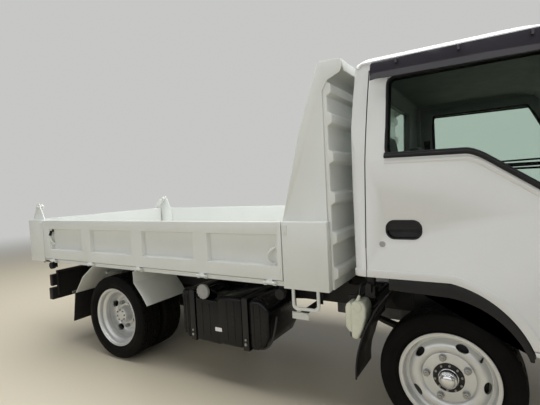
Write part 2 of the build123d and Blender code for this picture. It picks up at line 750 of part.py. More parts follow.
# Tailgate: ribbed on its outside, hung from arms at its two ends
with BuildPart() as tailgate:
    tail_front_x = bed_rear_x + tailgate_thickness
    extrude(**slab(bed_rear_x, tail_front_x, -tailgate_half_width, tailgate_half_width,
                   gate_bottom + 5, gate_top + 4))
    with BuildSketch(Plane.YZ.offset(bed_rear_x)):
        with GridLocations(386, 1, 4, 1):
            with Locations((0, (recess_low + recess_high) / 2)):
                Rectangle(300, recess_high - recess_low)
    extrude(amount=recess_depth, taper=12, mode=Mode.SUBTRACT)
    arm_y = gate_inner_y - 30
    for y in (-arm_y - 10, arm_y):
        extrude(side_view(y, [
            (bed_rear_x - tailgate_arm_depth, 1000), (bed_rear_x, 1000), (bed_rear_x, gate_top + 4),
            (bed_rear_x + 30, gate_top + 20),
            (tailgate_pin_x + 18, tailgate_pin_z - 20), (tailgate_pin_x + 22, tailgate_pin_z + 8),
            (tailgate_pin_x, tailgate_pin_z + 24), (tailgate_pin_x - 60, tailgate_pin_z + 4),
            (bed_rear_x - tailgate_arm_depth, gate_top + 40),
        ]), amount=10)
    extrude(**bar_y(tailgate_pin_x, tailgate_pin_z, tailgate_pin_radius + run_gap,
                    -gate_inner_y, gate_inner_y), mode=Mode.SUBTRACT)
save(tailgate.part, "tailgate")

# Hoist: barrel on the frame, rod to the bed. Drawn along its own line.
hoist_run = Vector(hoist_eye_x - hoist_base_x, 0, hoist_eye_z - hoist_base_z)
hoist_line = Plane(origin=(hoist_base_x, 0, hoist_base_z), x_dir=(0, 1, 0), z_dir=hoist_run)
hoist_length = hoist_run.length
with BuildPart() as hoist_barrel:
    with BuildSketch(hoist_line.offset(40)):
        Circle(barrel_radius)
    extrude(amount=barrel_length - 40)
    extrude(**bar_y(hoist_base_x, hoist_base_z, 38, -30, 30))
    with BuildSketch(hoist_line.offset(10)):
        Rectangle(60, 60)
    extrude(amount=40)
    with BuildSketch(hoist_line.offset(100)):
        Circle(rod_radius + run_gap)
    extrude(amount=barrel_length, mode=Mode.SUBTRACT)
    extrude(**bar_y(hoist_base_x, hoist_base_z, hoist_pin_radius + run_gap, -52, 52), mode=Mode.SUBTRACT)
save(hoist_barrel.part, "hoist_barrel")

with BuildPart() as hoist_rod:
    with BuildSketch(hoist_line.offset(108)):
        Circle(rod_radius)
    extrude(amount=hoist_length - 108 - 30)
    extrude(**bar_y(hoist_eye_x, hoist_eye_z, 36, -27, 27))
    extrude(**bar_y(hoist_eye_x, hoist_eye_z, hoist_pin_radius, -27, 27), mode=Mode.SUBTRACT)
save(hoist_rod.part, "hoist_rod")

# Cab outlines: the corners that runs and arcs go to, after what the arcs pass through.
# They start below the cab, and its block is cut off level at the bottom.
cab_low = cab_bottom - 100
beyond_front_x = cab_front_x + 190
roof_side_z = roof_top - 45
cab_side = [  # from the side, up the front, over the roof and down the back
    [(cab_rear_x, cab_low)], [(cab_front_x, cab_low)], [(cab_front_x, 900)],
    [(cab_front_x - 39, 1118), (screen_foot_x, screen_foot_z)],
    [((screen_foot_x + screen_head_x) / 2 + 14, (screen_foot_z + roof_top - 90) / 2 + 8),
     (screen_head_x, roof_top - 90)],
    [(1820, roof_top - 38)], [(1700, roof_top - 10)], [(1350, roof_top), (cab_rear_x + 95, roof_top - 7)],
    [(cab_rear_x + 48, roof_top - 28), (cab_rear_x + 28, roof_top - 75)], [(cab_rear_x, 1260)],
]
cab_section = [  # from the front, right half, up the side and in to the middle of the roof
    [(0, cab_low)], [(side_y, cab_low)], [(side_y, belt_z - 20)],
    [((side_y + roof_edge_y) / 2 + 10, (belt_z - 20 + roof_side_z) / 2), (roof_edge_y, roof_side_z)],
    [(roof_edge_y - 50, roof_top - 7)], [(roof_edge_y / 2, roof_top - 3), (0, roof_top)],
]
cab_plan = [  # from above, right half, from the middle of the back
    [(0, cab_rear_x)], [(side_y - 70, cab_rear_x)],
    [(side_y - 20, cab_rear_x + 20), (side_y, cab_rear_x + 70)],
    [(side_y, 2085)], [(side_y - 45, 2215), (690, 2285)], [(350, 2304), (0, cab_front_x)],
]


def cab_block(inset):
    # The cab's closed outer shape, set in all round but for its level bottom.
    with BuildPart() as block:
        extrude(curved_outline(Plane.XZ.offset(-1000), cab_side, inset), amount=2000)
        extrude(curved_outline(Plane.YZ, cab_section, inset, True), amount=3000, mode=Mode.INTERSECT)
        extrude(curved_outline(plan_view, cab_plan, inset, True), amount=3000, mode=Mode.INTERSECT)
        extrude(**slab(800, beyond_front_x, -1000, 1000, cab_bottom, roof_top + 100), mode=Mode.INTERSECT)
    return block.part


arch_start = (1380, arch_top)
arch_middle = (1575, 757)
arch_end = (1708, cab_bottom)
arch_rear_x = cab_rear_x - 200
arch_low = 300


def arch_space(y_low, y_high, raised):
    # The space under the wheel arch, its edge raised or, below 0, lowered.
    with BuildSketch(Plane.XZ.offset(y_low)) as arch:
        with BuildLine():
            end_x = arch_end[0]
            Polyline(arch_end, (end_x, arch_low), (arch_rear_x, arch_low), (arch_rear_x, arch_top), arch_start)
            ThreePointArc(arch_start, arch_middle, arch_end)
        make_face()
        if raised:
            offset(amount=raised, kind=Kind.INTERSECTION)
    return {"to_extrude": arch.sketch, "amount": y_high - y_low}


door_edge = [  # outline in side view, ahead of and above the arch
    (985, 700), (985, 1000), (1000, 1560), (1012, roof_top - 90),
    (1810, roof_top - 90), (1868, roof_top - 135), (door_front_x, 1385),
    (door_front_x, 640), (door_front_x - 48, 585), (1690, 585),
]
door_window = [
    (1100, 1470), (1106, roof_top - 143), (1780, roof_top - 143), (door_front_x - 68, 1330),
    (door_front_x - 68, 1215), (1860, 1200), (1520, 1440), (1480, 1462),
]
windscreen = [(-700, 1375), (-640, roof_top - 135), (640, roof_top - 135), (700, 1375)]
rear_window = [(-450, 1480), (-430, roof_top - 155), (430, roof_top - 155), (450, 1480)]
hinges_z = (900, 1240)
knuckle_half = 20
handle_middle = (1175, 1100)
handle_size = (176, 98)
handle_corner = 44


def set_in(plane, points, amount):
    # Outline with its edge moved in (or out, where amount is negative).
    with BuildSketch(plane) as drawn:
        with BuildLine():
            Polyline(points, close=True)
        make_face()
        offset(amount=-amount, kind=Kind.INTERSECTION)
    return drawn.sketch


def skin(outer, inner):
    # A layer that follows the cab's outside, between two depths below it.
    with BuildPart() as layer:
        add(cab_block(outer))
        add(cab_block(inner), mode=Mode.SUBTRACT)
    return layer.part


outer_block = cab_block(0)
wall_block = cab_block(cab_wall)
door_block = cab_block(cab_wall + panel_gap)
right_side = Plane.XZ.offset(500)
seat_floor = engine_tunnel_top + floor_wall
glass_layer = skin(18, 18 + pane)
trim_layer = skin(-14, -seat_gap)

# Flange that stands out along the wheel arch, on the right
with BuildPart() as lip:
    add(skin(-lip_depth, 0))
    extrude(**arch_space(side_y - 30, side_y + 30, arch_lip), mode=Mode.INTERSECT)
    extrude(**arch_space(side_y - 100, side_y + 100, 0), mode=Mode.SUBTRACT)


def upright_bar(x, y, radius, z_low, z_high):
    # Upright round bar, y to the right of the middle.
    with BuildSketch(Plane.XY.offset(z_low)) as end:
        with Locations((x, -y)):
            Circle(radius)
    return {"to_extrude": end.sketch, "amount": z_high - z_low}


def knuckles(radius, on_door):
    # The bars about a door's hinge line that belong to the door, or else to the cab.
    for z in hinges_z:
        inner, outer = knuckle_half + run_gap, 2 * knuckle_half + run_gap
        spans = [(z - outer, z - inner), (z + inner, z + outer)]
        if on_door:
            spans = [(z - knuckle_half, z + knuckle_half)]
        for low, high in spans:
            yield upright_bar(door_hinge_x, door_hinge_y, radius, low, high), low, high


# Cab shell: outer shape less its room, doorways, windows, arches and tunnel
with BuildPart() as cab_shell:
    add(outer_block)
    with BuildPart(mode=Mode.PRIVATE) as room:
        add(wall_block)
        extrude(side_view(-1000, [
            (900, seat_floor), (1600, seat_floor), (1745, step_floor), (beyond_front_x, step_floor),
            (beyond_front_x, roof_top + 100), (900, roof_top + 100),
        ]), amount=2000, mode=Mode.INTERSECT)
        extrude(**slab(800, beyond_front_x, -tunnel_y - floor_wall, tunnel_y + floor_wall,
                       500, tunnel_top + floor_wall), mode=Mode.SUBTRACT)
    add(room.part, mode=Mode.SUBTRACT)
    add(lip.part)
    add(mirror(lip.part, about=Plane.XZ))
    for near in (430, -900):
        extrude(**arch_space(near, near + 470, 0), mode=Mode.SUBTRACT)
    extrude(**slab(800, 2286, -tunnel_y, tunnel_y, 400, tunnel_top), mode=Mode.SUBTRACT)
    extrude(**slab(800, 1700, -engine_tunnel_y, engine_tunnel_y, 400, engine_tunnel_top), mode=Mode.SUBTRACT)
    with BuildPart(mode=Mode.PRIVATE) as doorway:
        add(cab_block(-lip_depth))
        add(door_block, mode=Mode.SUBTRACT)
        extrude(set_in(right_side, door_edge, -panel_gap), amount=600, mode=Mode.INTERSECT)
        for bar, low, high in knuckles(door_knuckle_radius + 1, True):
            extrude(**bar)
    add(doorway.part, mode=Mode.SUBTRACT)
    add(mirror(doorway.part, about=Plane.XZ), mode=Mode.SUBTRACT)
    # Fixed halves of the doors' hinges, with their pins
    with BuildPart(mode=Mode.PRIVATE) as hinges:
        for bar, low, high in knuckles(door_knuckle_radius, False):
            extrude(**bar)
            extrude(**slab(door_hinge_x, door_hinge_x + 35, -door_hinge_y - 2, -door_hinge_y + 35, low, high))
        for z in hinges_z:
            extrude(**upright_bar(door_hinge_x, door_hinge_y, door_pin_radius,
                                  z - knuckle_half - 2, z + knuckle_half + 2))
    add(hinges.part)
    add(mirror(hinges.part, about=Plane.XZ))
    extrude(outline(Plane.YZ.offset(1850), windscreen), amount=600, mode=Mode.SUBTRACT)
    extrude(outline(Plane.YZ.offset(850), rear_window), amount=140, mode=Mode.SUBTRACT)
    # Ears that the cab tilts on
    for y in (-392, 368):
        extrude(side_view(y, [
            (cab_pivot_x - 26, cab_pivot_z - 24), (cab_pivot_x + 34, cab_pivot_z - 24),
            (cab_pivot_x + 40, tunnel_top), (cab_pivot_x - 26, tunnel_top),
        ]), amount=24)
    extrude(**bar_y(cab_pivot_x, cab_pivot_z, cab_pivot_radius + run_gap, -400, 400), mode=Mode.SUBTRACT)
save(cab_shell.part, "cab_shell")

# Doors, from the same outer shape
with BuildPart() as door:
    add(outer_block)
    add(wall_block, mode=Mode.SUBTRACT)
    add(lip.part)
    extrude(side_view(500, door_edge), amount=600, mode=Mode.INTERSECT)
    extrude(**arch_space(500, 1000, 0), mode=Mode.SUBTRACT)
    extrude(side_view(500, door_window), amount=500, mode=Mode.SUBTRACT)
    with BuildSketch(Plane.XZ.offset(side_y - handle_depth)):
        with Locations(handle_middle):
            RectangleRounded(*handle_size, handle_corner)
    extrude(amount=handle_depth + 5, mode=Mode.SUBTRACT)
    for bar, low, high in knuckles(door_knuckle_radius + 1, False):
        extrude(**bar, mode=Mode.SUBTRACT)
    for bar, low, high in knuckles(door_knuckle_radius, True):
        extrude(**bar)
        extrude(**slab(door_hinge_x - 35, door_hinge_x, -door_hinge_y - 2, -door_hinge_y + 15, low, high))
    for z in hinges_z:
        extrude(**upright_bar(door_hinge_x, door_hinge_y, door_pin_radius + run_gap, z - 30, z + 30),
                mode=Mode.SUBTRACT)
save_pair(door.part, "door")

with BuildPart() as door_glass:
    add(glass_layer)
    extrude(set_in(right_side, door_window, seat_gap), amount=600, mode=Mode.INTERSECT)
save_pair(door_glass.part, "door_glass")

# Bowl and flap of the handle, and the smoked visor above the window
bowl_wall = 4
handle_width, handle_height = handle_size
with BuildPart() as door_trim:
    add(trim_layer)
    extrude(side_view(500, [
        (1011, roof_top - 132), (1115, roof_top - 108), (1737, roof_top - 102), (1790, roof_top - 120),
        (1815, roof_top - 95), (1790, roof_top - 60), (1011, roof_top - 65),
    ]), amount=600, mode=Mode.INTERSECT)
    bowl_plane = Plane.XZ.offset(side_y - handle_depth)
    with BuildSketch(bowl_plane):
        with Locations(handle_middle):
            RectangleRounded(handle_width, handle_height, handle_corner)
    extrude(amount=handle_depth + 2)
    with BuildSketch(bowl_plane.offset(bowl_wall)):
        with Locations(handle_middle):
            RectangleRounded(handle_width - 16, handle_height - 16, handle_corner - 8)
    extrude(amount=handle_depth, mode=Mode.SUBTRACT)
    flap_x, flap_z = handle_middle
    with BuildSketch(bowl_plane.offset(handle_depth - 10)):
        with Locations(handle_middle):
            RectangleRounded(handle_width - 8, handle_height - 8, handle_corner - 4)
        with Locations((flap_x, flap_z - handle_height / 2)):
            Rectangle(handle_width, handle_height - 8, mode=Mode.SUBTRACT)
    extrude(amount=7)
save_pair(door_trim.part, "door_trim")

with BuildPart() as cab_glass:
    add(glass_layer)
    with BuildPart(mode=Mode.PRIVATE) as openings:
        extrude(set_in(Plane.YZ.offset(1850), windscreen, seat_gap), amount=600)
        extrude(set_in(Plane.YZ.offset(850), rear_window, seat_gap), amount=140)
    add(openings.part, mode=Mode.INTERSECT)
save(cab_glass.part, "cab_glass")

# Grille below the windscreen, headlamps at its ends
with BuildPart() as grille:
    add(trim_layer)
    extrude(**slab(2200, 2400, -480, 480, 800, 950), mode=Mode.INTERSECT)
    with BuildSketch(Plane.YZ.offset(cab_front_x - 10)):
        with Locations((0, 875)):
            with GridLocations(1, 34, 1, 4):
                Rectangle(900, 16)
    extrude(amount=40, mode=Mode.SUBTRACT)
save(grille.part, "grille")

with BuildPart() as headlamps:
    add(trim_layer)
    extrude(**slab(2200, 2400, -740, -500, 620, 780), mode=Mode.INTERSECT)
    mirror(about=Plane.XZ)
save(headlamps.part, "headlamps")

# Black bands under the arches, stepped down below the doors
band_inner_y = front_wheel_y + 70
band_outer_y = side_y - 13
band_step_y = side_y - cab_wall - panel_gap
band_low = 525
band_edge = [  # its lower edge, narrowing towards the front
    [(1060, band_low - 50)], [(1060, arch_top - 64)], [(1371, arch_top - arch_band)],
    [(1553, arch_top - 146), (1690, band_low - 10)], [(1700, band_low - 50)],
]
with BuildPart() as arch_bands:
    extrude(**arch_space(band_inner_y, band_step_y, 0))
    extrude(**arch_space(band_step_y, band_outer_y, -panel_gap))
    extrude(curved_outline(Plane.XZ.offset(band_inner_y), band_edge), amount=band_outer_y - band_inner_y,
            mode=Mode.SUBTRACT)
    extrude(**slab(1089, 1800, -band_outer_y, -band_inner_y, band_low, arch_top), mode=Mode.INTERSECT)
    mirror(about=Plane.XZ)
save(arch_bands.part, "arch_bands")

# Seats: one for the driver and a bench for two
seat_side = [
    (1560, seat_floor + seat_gap), (1575, 1090), (1545, 1140), (1130, 1115), (1050, 1560),
    (1000, 1600), (978, 1570), (1000, 1080), (1030, seat_floor + seat_gap),
]
seat_spans = [(230, 720), (-720, 180)]
with BuildPart() as seats:
    for near, far in seat_spans:
        extrude(side_view(near, seat_side), amount=far - near)
save(seats.part, "seats")

with BuildPart() as dashboard:
    extrude(side_view(-780, [
        (2300, 1000), (2050, 1020), (2000, 1120), (2020, 1240), (2150, 1290), (2300, 1290),
    ]), amount=1560)
    add(cab_block(cab_wall + seat_gap), mode=Mode.INTERSECT)
    add(cab_block(0), mode=Mode.INTERSECT)
save(dashboard.part, "dashboard")

# Steering wheel, with its column running down into the dashboard
wheel_middle = Vector(1790, -475, 1290)
column_slope = Vector(-0.7, 0, 0.714)
wheel_rim_radius = 200
column_length = 360
column = Plane(origin=wheel_middle, x_dir=(0, 1, 0), z_dir=column_slope)
with BuildPart() as steering_wheel:
    with BuildSketch(Plane(origin=wheel_middle, x_dir=(0, 1, 0), z_dir=(column_slope.Z, 0, -column_slope.X))):
        with Locations((wheel_rim_radius, 0)):
            Circle(13)
    revolve(axis=Axis(wheel_middle, column_slope))
    with BuildSketch(column.offset(-9)):
        Rectangle(2 * wheel_rim_radius - 5, 46)
    extrude(amount=14)
    with BuildSketch(column.offset(-column_length)):
        Circle(24)
    extrude(amount=column_length)
    add(dashboard.part, mode=Mode.SUBTRACT)
save(steering_wheel.part, "steering_wheel")

# Mirrors on stays from the cab's front corners
with BuildPart() as mirrors:
    with BuildSketch(Plane.XY.offset(1250)):
        with Locations((2175, -980)):
            RectangleRounded(50, 160, 20)
    extrude(amount=330)
    for start, end in (((2165, -910, 1540), (2070, -800, 1540)), ((2170, -910, 1290), (2150, -780, 1290))):
        extrude(**round_bar(start, end, 9))
    add(outer_block, mode=Mode.SUBTRACT)
    mirror(about=Plane.XZ)
save(mirrors.part, "mirrors")
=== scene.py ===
import bpy
import bmesh
import json
import math
from mathutils import Matrix, Vector
from mathutils.bvhtree import BVHTree

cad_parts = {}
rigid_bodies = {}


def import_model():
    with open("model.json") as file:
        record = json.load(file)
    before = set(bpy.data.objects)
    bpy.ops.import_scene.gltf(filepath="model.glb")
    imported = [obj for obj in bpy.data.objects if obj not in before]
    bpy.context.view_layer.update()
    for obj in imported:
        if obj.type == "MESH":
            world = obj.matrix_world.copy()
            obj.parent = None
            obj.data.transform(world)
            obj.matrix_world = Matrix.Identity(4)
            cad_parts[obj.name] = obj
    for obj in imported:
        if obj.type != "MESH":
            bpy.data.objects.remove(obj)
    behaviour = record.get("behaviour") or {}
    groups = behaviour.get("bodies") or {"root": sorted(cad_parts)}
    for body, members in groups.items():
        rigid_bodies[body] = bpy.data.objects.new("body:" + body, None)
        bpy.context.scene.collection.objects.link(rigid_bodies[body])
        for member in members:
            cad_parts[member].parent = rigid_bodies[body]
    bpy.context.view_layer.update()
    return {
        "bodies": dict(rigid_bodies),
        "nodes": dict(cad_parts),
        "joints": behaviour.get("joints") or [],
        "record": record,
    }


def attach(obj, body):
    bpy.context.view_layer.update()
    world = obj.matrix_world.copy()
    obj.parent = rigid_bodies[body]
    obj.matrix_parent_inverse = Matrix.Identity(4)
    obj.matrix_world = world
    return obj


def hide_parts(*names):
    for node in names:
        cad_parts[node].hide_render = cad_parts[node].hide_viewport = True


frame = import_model()
nodes = frame["nodes"]
record = frame["record"]
nodeBody = {node: body for body, members in record["behaviour"]["bodies"].items() for node in members}
nodeSlot = {part["node"]: part["material_slot"] for part in record["subparts"]}
print("frame loaded:", len(nodes), "nodes")

# Camera at the photograph's place, beside the truck and looking back along it
cameraSet = {
    "place": (1.5946, -2.7965, 1.3458),
    "yaw": 31.22, "pitch": -2.36, "roll": -2.87,
    "focal": 383.35, "frameWidth": 540.0, "sensor": 36.0, "farthest": 100,
}


def makeCamera():
    bpy.ops.object.camera_add(location=cameraSet["place"])
    camera = bpy.context.object
    turn = (Matrix.Rotation(math.radians(cameraSet["yaw"]), 4, "Z")
            @ Matrix.Rotation(math.radians(90 + cameraSet["pitch"]), 4, "X")
            @ Matrix.Rotation(math.radians(cameraSet["roll"]), 4, "Z"))
    camera.rotation_euler = turn.to_euler()
    camera.data.sensor_width = cameraSet["sensor"]
    camera.data.lens = cameraSet["sensor"] * cameraSet["focal"] / cameraSet["frameWidth"]
    camera.data.clip_end = cameraSet["farthest"]
    bpy.context.scene.camera = camera


makeCamera()


# Shader nodes
def addNode(tree, kind, **values):
    # Node with its settings. What comes from another node is linked.
    node = tree.nodes.new("ShaderNode" + kind)
    for name, value in values.items():
        title = name.replace("_", " ")
        if title not in node.inputs:
            setattr(node, name, value)
        elif isinstance(value, bpy.types.NodeSocket):
            tree.links.new(value, node.inputs[title])
        else:
            node.inputs[title].default_value = value
    return node


def mathNode(tree, operation, *terms):
    node = addNode(tree, "Math", operation=operation)
    for socket, value in zip(node.inputs, terms):
        if isinstance(value, (int, float)):
            socket.default_value = value
        else:
            tree.links.new(value, socket)
    return node.outputs[0]


def mixShaders(tree, mask, first, second):
    mix = addNode(tree, "MixShader", Fac=mask)
    tree.links.new(first.outputs[0], mix.inputs[1])
    tree.links.new(second.outputs[0], mix.inputs[2])
    return mix.outputs[0]


# Studio: pale floor, even world light and soft panels overhead
studio = {
    "floorSize": 60, "floorColor": (0.62, 0.565, 0.44, 1), "floorRough": 0.42,
    "worldColor": (0.97, 0.985, 1, 1), "worldLight": 0.15,
    "backColor": (0.57, 0.575, 0.56, 1), "fadeFrom": 5.5, "fadeTo": 15,
    "panels": [
        {"place": (-0.8, 0.2, 5.2), "size": (11, 5), "watts": 520, "aim": (-0.8, 0.2, 0)},
        {"place": (0, -6.5, 2.7), "size": (11, 3.6), "watts": 124, "aim": (0, 0, 1.1)},
        {"place": (0, 6.5, 2.7), "size": (11, 3.6), "watts": 72, "aim": (0, 0, 1.1)},
        {"place": (8, 0, 2.7), "size": (6, 3.2), "watts": 60, "aim": (0, 0, 1.1)},
    ],
}


def makeFloor():
    bpy.ops.mesh.primitive_plane_add(size=studio["floorSize"], location=(0, 0, 0))
    floor = bpy.context.object
    floor.name = "studioFloor"
    paint = bpy.data.materials.new("floorPaint")
    paint.use_nodes = True
    tree = paint.node_tree
    shader = tree.nodes["Principled BSDF"]
    shader.inputs["Base Color"].default_value = studio["floorColor"]
    shader.inputs["Roughness"].default_value = studio["floorRough"]
    # Far off, the floor fades into the backdrop
    place = addNode(tree, "TexCoord").outputs["Object"]
    reach = addNode(tree, "VectorMath", operation="LENGTH", Vector=place)
    fade = addNode(tree, "MapRange", interpolation_type="SMOOTHSTEP", Value=reach.outputs["Value"],
                   From_Min=studio["fadeFrom"], From_Max=studio["fadeTo"])
    glow = addNode(tree, "Emission", Color=studio["backColor"])
    surface = mixShaders(tree, fade.outputs["Result"], shader, glow)
    tree.links.new(surface, tree.nodes["Material Output"].inputs["Surface"])
    floor.data.materials.append(paint)


def makeStudio():
    world = bpy.data.worlds.new("hallLight")
    bpy.context.scene.world = world
    world.use_nodes = True
    tree = world.node_tree
    tree.nodes.clear()
    lit = addNode(tree, "Background", Color=studio["worldColor"], Strength=studio["worldLight"])
    seen = addNode(tree, "Background", Color=studio["backColor"])
    direct = addNode(tree, "LightPath").outputs["Is Camera Ray"]
    addNode(tree, "OutputWorld", Surface=mixShaders(tree, direct, lit, seen))
    for panel in studio["panels"]:
        bpy.ops.object.light_add(type="AREA", location=panel["place"])
        lamp = bpy.context.object
        lamp.data.shape = "RECTANGLE"
        lamp.data.size, lamp.data.size_y = panel["size"]
        lamp.data.energy = panel["watts"]
        aim = Vector(panel["aim"]) - Vector(panel["place"])
        lamp.rotation_euler = aim.to_track_quat("-Z", "Y").to_euler()
    makeFloor()
    bpy.context.scene.view_settings.view_transform = "Standard"


makeStudio()
print("camera and studio set")


# Shader node groups that several finishes share
def startGroup(name, outputs, **inputs):
    # Group of number sockets, with the object's coordinates inside it
    group = bpy.data.node_groups.new(name, "ShaderNodeTree")
    for title, value in inputs.items():
        socket = group.interface.new_socket(title, in_out="INPUT", socket_type="NodeSocketFloat")
        socket.default_value = value
    for title in outputs:
        group.interface.new_socket(title, in_out="OUTPUT", socket_type="NodeSocketFloat")
    place = addNode(group, "TexCoord").outputs["Object"]
    return group, place, group.nodes.new("NodeGroupInput").outputs, group.nodes.new("NodeGroupOutput").inputs


def makeMottle():
    # Slow cloudy change between two values
    group, place, start, end = startGroup("mottle", ["Value"], Scale=3, Detail=4, Low=0, High=1)
    noise = addNode(group, "TexNoise", Vector=place, Scale=start["Scale"], Detail=start["Detail"],
                    Roughness=0.6)
    spread = addNode(group, "MapRange", Value=noise.outputs["Fac"], From_Min=0.3, From_Max=0.7,
                     To_Min=start["Low"], To_Max=start["High"])
    group.links.new(spread.outputs["Result"], end["Value"])
    return group


def makeRoadDust():
    # Mask of dust that thins out with height, broken up by noise
    group, place, start, end = startGroup("roadDust", ["Mask"], Top=0.7, Amount=0.5, Scale=9)
    height = addNode(group, "SeparateXYZ", Vector=place).outputs["Z"]
    noise = addNode(group, "TexNoise", Vector=place, Scale=start["Scale"], Detail=7, Roughness=0.65)
    near = mathNode(group, "SUBTRACT", 1.0, mathNode(group, "DIVIDE", height, start["Top"]))
    patch = mathNode(group, "MULTIPLY", near, noise.outputs["Fac"])
    clamp = addNode(group, "Clamp", Value=mathNode(group, "MULTIPLY", patch, start["Amount"]))
    group.links.new(clamp.outputs["Result"], end["Mask"])
    return group


def makeGrain():
    # Fine moulded grain as a height
    group, place, start, end = startGroup("mouldedGrain", ["Height"], Scale=900, Softness=0.5)
    cells = addNode(group, "TexVoronoi", feature="SMOOTH_F1", Vector=place, Scale=start["Scale"],
                    Smoothness=start["Softness"])
    noise = addNode(group, "TexNoise", Vector=place, Detail=3,
                    Scale=mathNode(group, "MULTIPLY", start["Scale"], 0.4))
    mixed = mathNode(group, "ADD", mathNode(group, "MULTIPLY", cells.outputs["Distance"], 0.7),
                     mathNode(group, "MULTIPLY", noise.outputs["Fac"], 0.3))
    group.links.new(mixed, end["Height"])
    return group


def makeStreaks():
    # Faint upright streaks, as water leaves on painted sides
    group, place, start, end = startGroup("waterStreaks", ["Mask"], Scale=26, Amount=0.3)
    stretch = addNode(group, "Mapping", Vector=place, Scale=(1, 1, 0.05))
    noise = addNode(group, "TexNoise", Vector=stretch.outputs["Vector"], Scale=start["Scale"], Detail=5,
                    Roughness=0.7)
    spread = addNode(group, "MapRange", Value=noise.outputs["Fac"], From_Min=0.52, From_Max=0.8)
    group.links.new(mathNode(group, "MULTIPLY", spread.outputs["Result"], start["Amount"]), end["Mask"])
    return group


def makeWeave():
    # Over and under threads of seat cloth
    group, place, start, end = startGroup("clothWeave", ["Height", "Thread"], Scale=520)
    across, along, up = [
        addNode(group, "TexWave", wave_type="BANDS", bands_direction=direction, Vector=place,
                Scale=start["Scale"]).outputs["Fac"] for direction in "XYZ"]
    crossed = mathNode(group, "MAXIMUM", mathNode(group, "MULTIPLY", across, along),
                       mathNode(group, "MULTIPLY", along, up))
    group.links.new(crossed, end["Height"])
    group.links.new(along, end["Thread"])
    return group


groups = {
    "mottle": makeMottle(), "dust": makeRoadDust(), "grain": makeGrain(),
    "streaks": makeStreaks(), "weave": makeWeave(),
}
print("node groups built:", len(groups))

# Finishes by name. Dust is a pale brown film that lies thicker near the road.
finishes = {}
dustColor = (0.30, 0.265, 0.21)


def startFinish(name, rough, metallic=0.0, **extra):
    finishes[name] = material = bpy.data.materials.new(name)
    material.use_nodes = True
    shader = material.node_tree.nodes["Principled BSDF"]
    for socket, value in {"Roughness": rough, "Metallic": metallic, **extra}.items():
        shader.inputs[socket.replace("_", " ")].default_value = value
    return material.node_tree, shader


def useGroup(tree, name, **values):
    return addNode(tree, "Group", node_tree=groups[name], **values).outputs


def mottled(tree, **values):
    return useGroup(tree, "mottle", **values)["Value"]


def shade(color, share):
    return tuple(channel * share for channel in color)


def mixColors(tree, mask, first, second):
    node = addNode(tree, "Mix", data_type="RGBA", Factor=mask)
    for socket, value in ((node.inputs[6], first), (node.inputs[7], second)):
        if isinstance(value, tuple):
            socket.default_value = (*value, 1)
        else:
            tree.links.new(value, socket)
    return node.outputs[2]


def dusted(tree, tone, amount, **values):
    if not amount:
        return tone
    return mixColors(tree, useGroup(tree, "dust", Amount=amount, **values)["Mask"], tone, dustColor)


def coverShader(tree, shader, tone, gloss, height, strength, distance):
    # Tone, gloss and fine relief go to the shader
    bump = addNode(tree, "Bump", Strength=strength, Distance=distance, Height=height)
    sockets = {"Base Color": tone, "Roughness": gloss, "Normal": bump.outputs["Normal"]}
    for title, value in sockets.items():
        if value is not None:
            tree.links.new(value, shader.inputs[title])


def paintFinish(name, pale, deep, rough, dustTop, dustAmount, streakAmount, peelScale, peelStrength, coat):
    # Sprayed paint: cloudy tone, faint streaks, road dust low down and orange peel
    tree, shader = startFinish(name, rough[0], Coat_Weight=coat, Coat_Roughness=0.06,
                               Specular_IOR_Level=0.3 if deep[0] < 0.05 else 0.5)
    tone = mixColors(tree, mottled(tree, Scale=2.3, Detail=5), pale, deep)
    streaks = useGroup(tree, "streaks", Amount=streakAmount)["Mask"]
    tone = mixColors(tree, streaks, tone, (deep[0] * 0.8, deep[1] * 0.79, deep[2] * 0.75))
    coverShader(tree, shader, dusted(tree, tone, dustAmount, Top=dustTop),
                mottled(tree, Scale=6, Low=rough[0], High=rough[1]),
                mottled(tree, Scale=peelScale, Detail=2), peelStrength, 0.0006)


def plasticFinish(name, color, rough, grainScale, grainStrength, dustTop=0.0, dustAmount=0.0, **extra):
    # Moulded plastic or rubber: fine grain, faded patches and dust
    tree, shader = startFinish(name, rough, **extra)
    faded = tuple(min(1, channel * 1.5 + 0.002) for channel in color)
    tone = mixColors(tree, mottled(tree, Scale=5, High=0.6), color, faded)
    coverShader(tree, shader, dusted(tree, tone, dustAmount, Top=dustTop),
                mottled(tree, Scale=14, Low=rough - 0.08, High=rough + 0.1),
                useGroup(tree, "grain", Scale=grainScale)["Height"], grainStrength, 0.0005)


def metalFinish(name, color, rough, metallic, spread, scale, dustAmount=0.0, castStrength=0.05):
    # Bare, plated or silvered metal: uneven gloss, faint cast skin and a dust film
    tree, shader = startFinish(name, rough, metallic)
    tone = mixColors(tree, mottled(tree, Scale=scale * 0.3, High=0.7), color, shade(color, 0.82))
    coverShader(tree, shader, dusted(tree, tone, dustAmount, Top=0.9, Scale=14),
                mottled(tree, Scale=scale, Low=rough, High=rough + spread),
                useGroup(tree, "grain", Scale=scale * 20)["Height"], castStrength, 0.0004)


def glassFinish(name, color, ior, rough):
    tree, shader = startFinish(name, rough, Transmission_Weight=1.0, IOR=ior)
    tone = mixColors(tree, mottled(tree, Scale=4, High=0.4), color, shade(color, 0.96))
    tree.links.new(tone, shader.inputs["Base Color"])


def clothFinish(name, color, thread):
    tree, shader = startFinish(name, 0.85, Sheen_Weight=0.25)
    weave = useGroup(tree, "weave", Scale=520)
    base = mixColors(tree, weave["Thread"], color, thread)
    tone = mixColors(tree, mottled(tree, Scale=7, High=0.5), base, thread)
    coverShader(tree, shader, tone, None, weave["Height"], 0.4, 0.0006)


